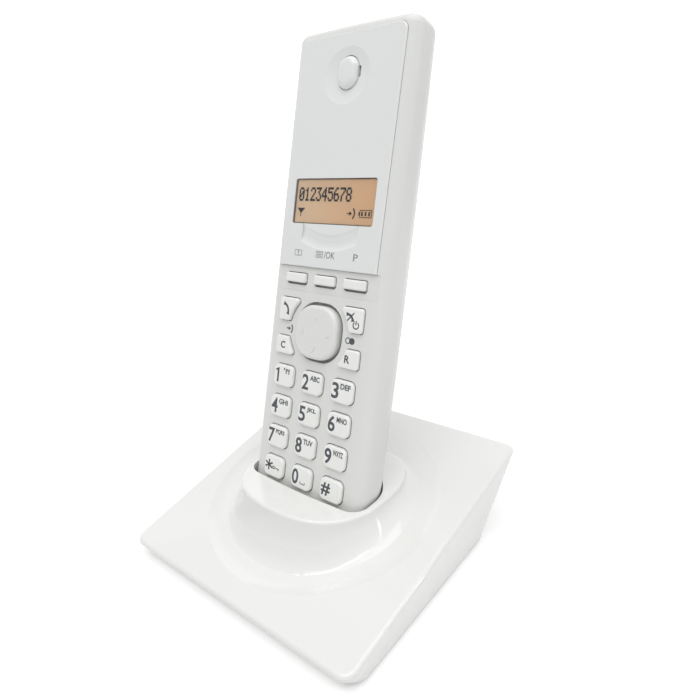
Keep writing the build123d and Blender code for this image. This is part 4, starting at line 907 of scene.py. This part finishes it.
# %% Dots of the digits
FONT = {
    "0": "01110 10001 10011 10101 11001 10001 01110",
    "1": "00100 01100 00100 00100 00100 00100 01110",
    "2": "01110 10001 00001 00010 00100 01000 11111",
    "3": "11111 00010 00100 00010 00001 10001 01110",
    "4": "00010 00110 01010 10010 11111 00010 00010",
    "5": "11111 10000 11110 00001 00001 10001 01110",
    "6": "00110 01000 10000 11110 10001 10001 01110",
    "7": "11111 00001 00010 00100 01000 01000 01000",
    "8": "01110 10001 10001 01110 10001 10001 01110",
    "9": "01110 10001 10001 01111 00001 00010 01100",
}


def dot_tiles(words, left, top):
    """One tile per lit dot. Row and column numbers of the ones, times the pitch, give each tile's
    middle. Its eight corners are that middle plus or minus half a tile, at two levels."""
    rows = [" ".join(FONT[letter].split()[row] for letter in words) for row in range(7)]
    lit = np.array([[mark == "1" for mark in row.replace(" ", "0")] for row in rows])
    row, column = np.nonzero(lit)
    middle = np.stack([left + (column + 0.5) * DOT_ACROSS, top - (row + 0.5) * DOT_UP], 1)
    corner = np.array([(-1, -1), (1, -1), (1, 1), (-1, 1)]) * (DOT_ACROSS * 0.75, DOT_UP * 0.54)
    flat = middle[:, None, :] + corner[None]
    level = np.broadcast_to(np.repeat([-INK_ROOT, INK_RISE], 4), (len(middle), 8))
    points = np.concatenate([np.tile(flat, (1, 2, 1)), level[..., None]], 2).reshape(-1, 3)
    sides = [(0, 3, 2, 1), (4, 5, 6, 7), (0, 1, 5, 4), (1, 2, 6, 5), (2, 3, 7, 6), (3, 0, 4, 7)]
    faces = (np.arange(len(middle))[:, None, None] * 8 + np.array(sides)[None]).reshape(-1, 4)
    mesh = bpy.data.meshes.new("dots")
    mesh.from_pydata(points.tolist(), [], faces.tolist())
    return mesh


DIGITS_IN = 1.2
DIGITS_DOWN = 2.6
SIGNS_DOWN = 10.4
AERIAL_IN = 2.6
SPEAKER_IN = 22.9
BATTERY_IN = 28.1
left, top = -LENS_WIDTH / 2, LENS_HEIGHT / 2
digits = dot_tiles("012345678", left + DIGITS_IN, top - DIGITS_DOWN)
piece("display_digits", [digits], segment_ink, "handset", on_sheet)

# %% Signal, intercom and battery segments
aerial = [
    moved(plate([(-1.6, 1.3), (1.6, 1.3), (0.15, -0.3), (-0.15, -0.3)]), left + AERIAL_IN, top - SIGNS_DOWN),
    moved(ribbon([(0, 0.4), (0, -1.4)], 0.15), left + AERIAL_IN, top - SIGNS_DOWN),
]
ring_in = [
    moved(ribbon([(-1.7, 0), (-0.4, 0)], 0.16), left + SPEAKER_IN, top - SIGNS_DOWN),
    moved(plate([(-0.8, 0.7), (0.2, 0), (-0.8, -0.7)]), left + SPEAKER_IN, top - SIGNS_DOWN),
    moved(ribbon(arc((-1.2, 0), 2.3, -42, 42, 12), 0.24), left + SPEAKER_IN, top - SIGNS_DOWN),
]
battery = [
    ribbon(rounded(4.4, 2.3, 0.2, -0.1), 0.12, closed=True),
    plate([(-2.2, 0.5), (-2.2, -0.5), (-2.6, -0.5), (-2.6, 0.5)]),
]
bars = [(x - 0.3, x + 0.3) for x in (-1.3, 0.0, 1.3)]
battery += [plate([(a, -0.65), (b, -0.65), (b, 0.65), (a, 0.65)]) for a, b in bars]
battery = [moved(mesh, left + BATTERY_IN, top - SIGNS_DOWN) for mesh in battery]
piece("display_signs", aerial + ring_in + battery, segment_ink, "handset", on_sheet)
print("display", round(LENS_WIDTH, 2), "x", round(LENS_HEIGHT, 2), "mm")

# %% [markdown]
# ## What shows only from behind
# A disc of woven cloth behind the sound holes keeps dust off the ringer. The telephone socket has
# four gilt wires under its roof, and each slopes away from the mouth as height = roof - drop
# t^1.6, for t from 0 to 1 along it. The page key has a sign of a handset that is called. The two
# cells, which lie head to tail, are marked with their size and their poles. Those marks are drawn
# flat and then bent round the cell.

# %% Cloth and socket wires
CLOTH_RADIUS = 5.4
CLOTH_AHEAD = 2.95
ringer_low, ringer_high = own_box("ringer_speaker")
ringer_up = (ringer_low[1] + ringer_high[1]) / 2
disc = plate(arc((0, 0), CLOTH_RADIUS, 0, 352.5, 48), 0, 0.15)
at_ringer = laid(0, ringer_up, ringer_low[2] - CLOTH_AHEAD)
piece("ringer_cloth", [disc], cloth, "handset", at_ringer)

SOCKET_HALF_HEIGHT = 3.4
WIRE_PITCH = 1.02
WIRE_HALF = 0.2
jack_low, jack_high = own_box("line_jack", Matrix.Identity(4))
jack_middle = (jack_low + jack_high) / 2
t = np.linspace(0, 1, 14)
roof = jack_middle[2] + SOCKET_HALF_HEIGHT - WIRE_HALF
slope = np.column_stack([jack_high[1] - 0.5 - 8.0 * t, roof - 1.2 * t**1.6])
wire_places = jack_middle[0] + WIRE_PITCH * np.array([-1.5, -0.5, 0.5, 1.5])
wires = [ribbon(slope, WIRE_HALF, x - WIRE_HALF, x + WIRE_HALF) for x in wire_places]
side_on = facing(Vector((1, 0, 0)), Vector((0, 1, 0)))
piece("line_jack_wires", wires, gilt, "base", laid(0, 0, 0, side_on))

# %% Sign on the page key
PAGE = facing(out_of("page_key_press"), -ACROSS)
page_sign = [moved(handset_sign(2.0, 0.26, 0.5), -1.6, 0, 180)]
page_sign += [ribbon(arc((-0.6, 0), radius, -35, 35, 12), 0.15) for radius in (1.1, 2.0, 2.9)]
piece("sign_page", page_sign, legend_ink, "page_key", laid(*key_top("page_key", PAGE), PAGE))


# %% Marks on the cells
def stroke(start, end, half_width=0.2):
    """A straight ribbon in short steps, so that it can be bent."""
    return ribbon(np.linspace(start, end, 11), half_width)


def letter_a(x):
    strokes = [stroke((-1, -1.4), (0, 1.4)), stroke((1, -1.4), (0, 1.4)), stroke((-0.6, -0.5), (0.6, -0.5))]
    return [moved(mesh, x, 0) for mesh in strokes]


REAR = facing(-OUT, -ACROSS)
for side in ("left", "right"):
    low, high = own_box(f"battery_cell_{side}", REAR)
    radius = (high[0] - low[0]) / 2
    at_cell = laid((low[0] + high[0]) / 2, (low[1] + high[1]) / 2, high[2], REAR)
    towards_plus = 1 if plus_is_up(side) else -1
    strokes = [mesh for x in (-2.6, 0, 2.6) for mesh in letter_a(x)]
    word = [moved(mesh, 0, -5 * towards_plus, 90 * towards_plus) for mesh in strokes]
    word = [wrapped(mesh, radius) for mesh in word]
    piece(f"cell_size_{side}", word, cell_ink, "handset", at_cell)
    plus = [moved(stroke((-1, 0), (1, 0)), 0, 14 * towards_plus, turn) for turn in (0, 90)]
    poles = [wrapped(mesh, radius) for mesh in plus]
    piece(f"cell_plus_{side}", poles, legend_ink, "handset", at_cell)
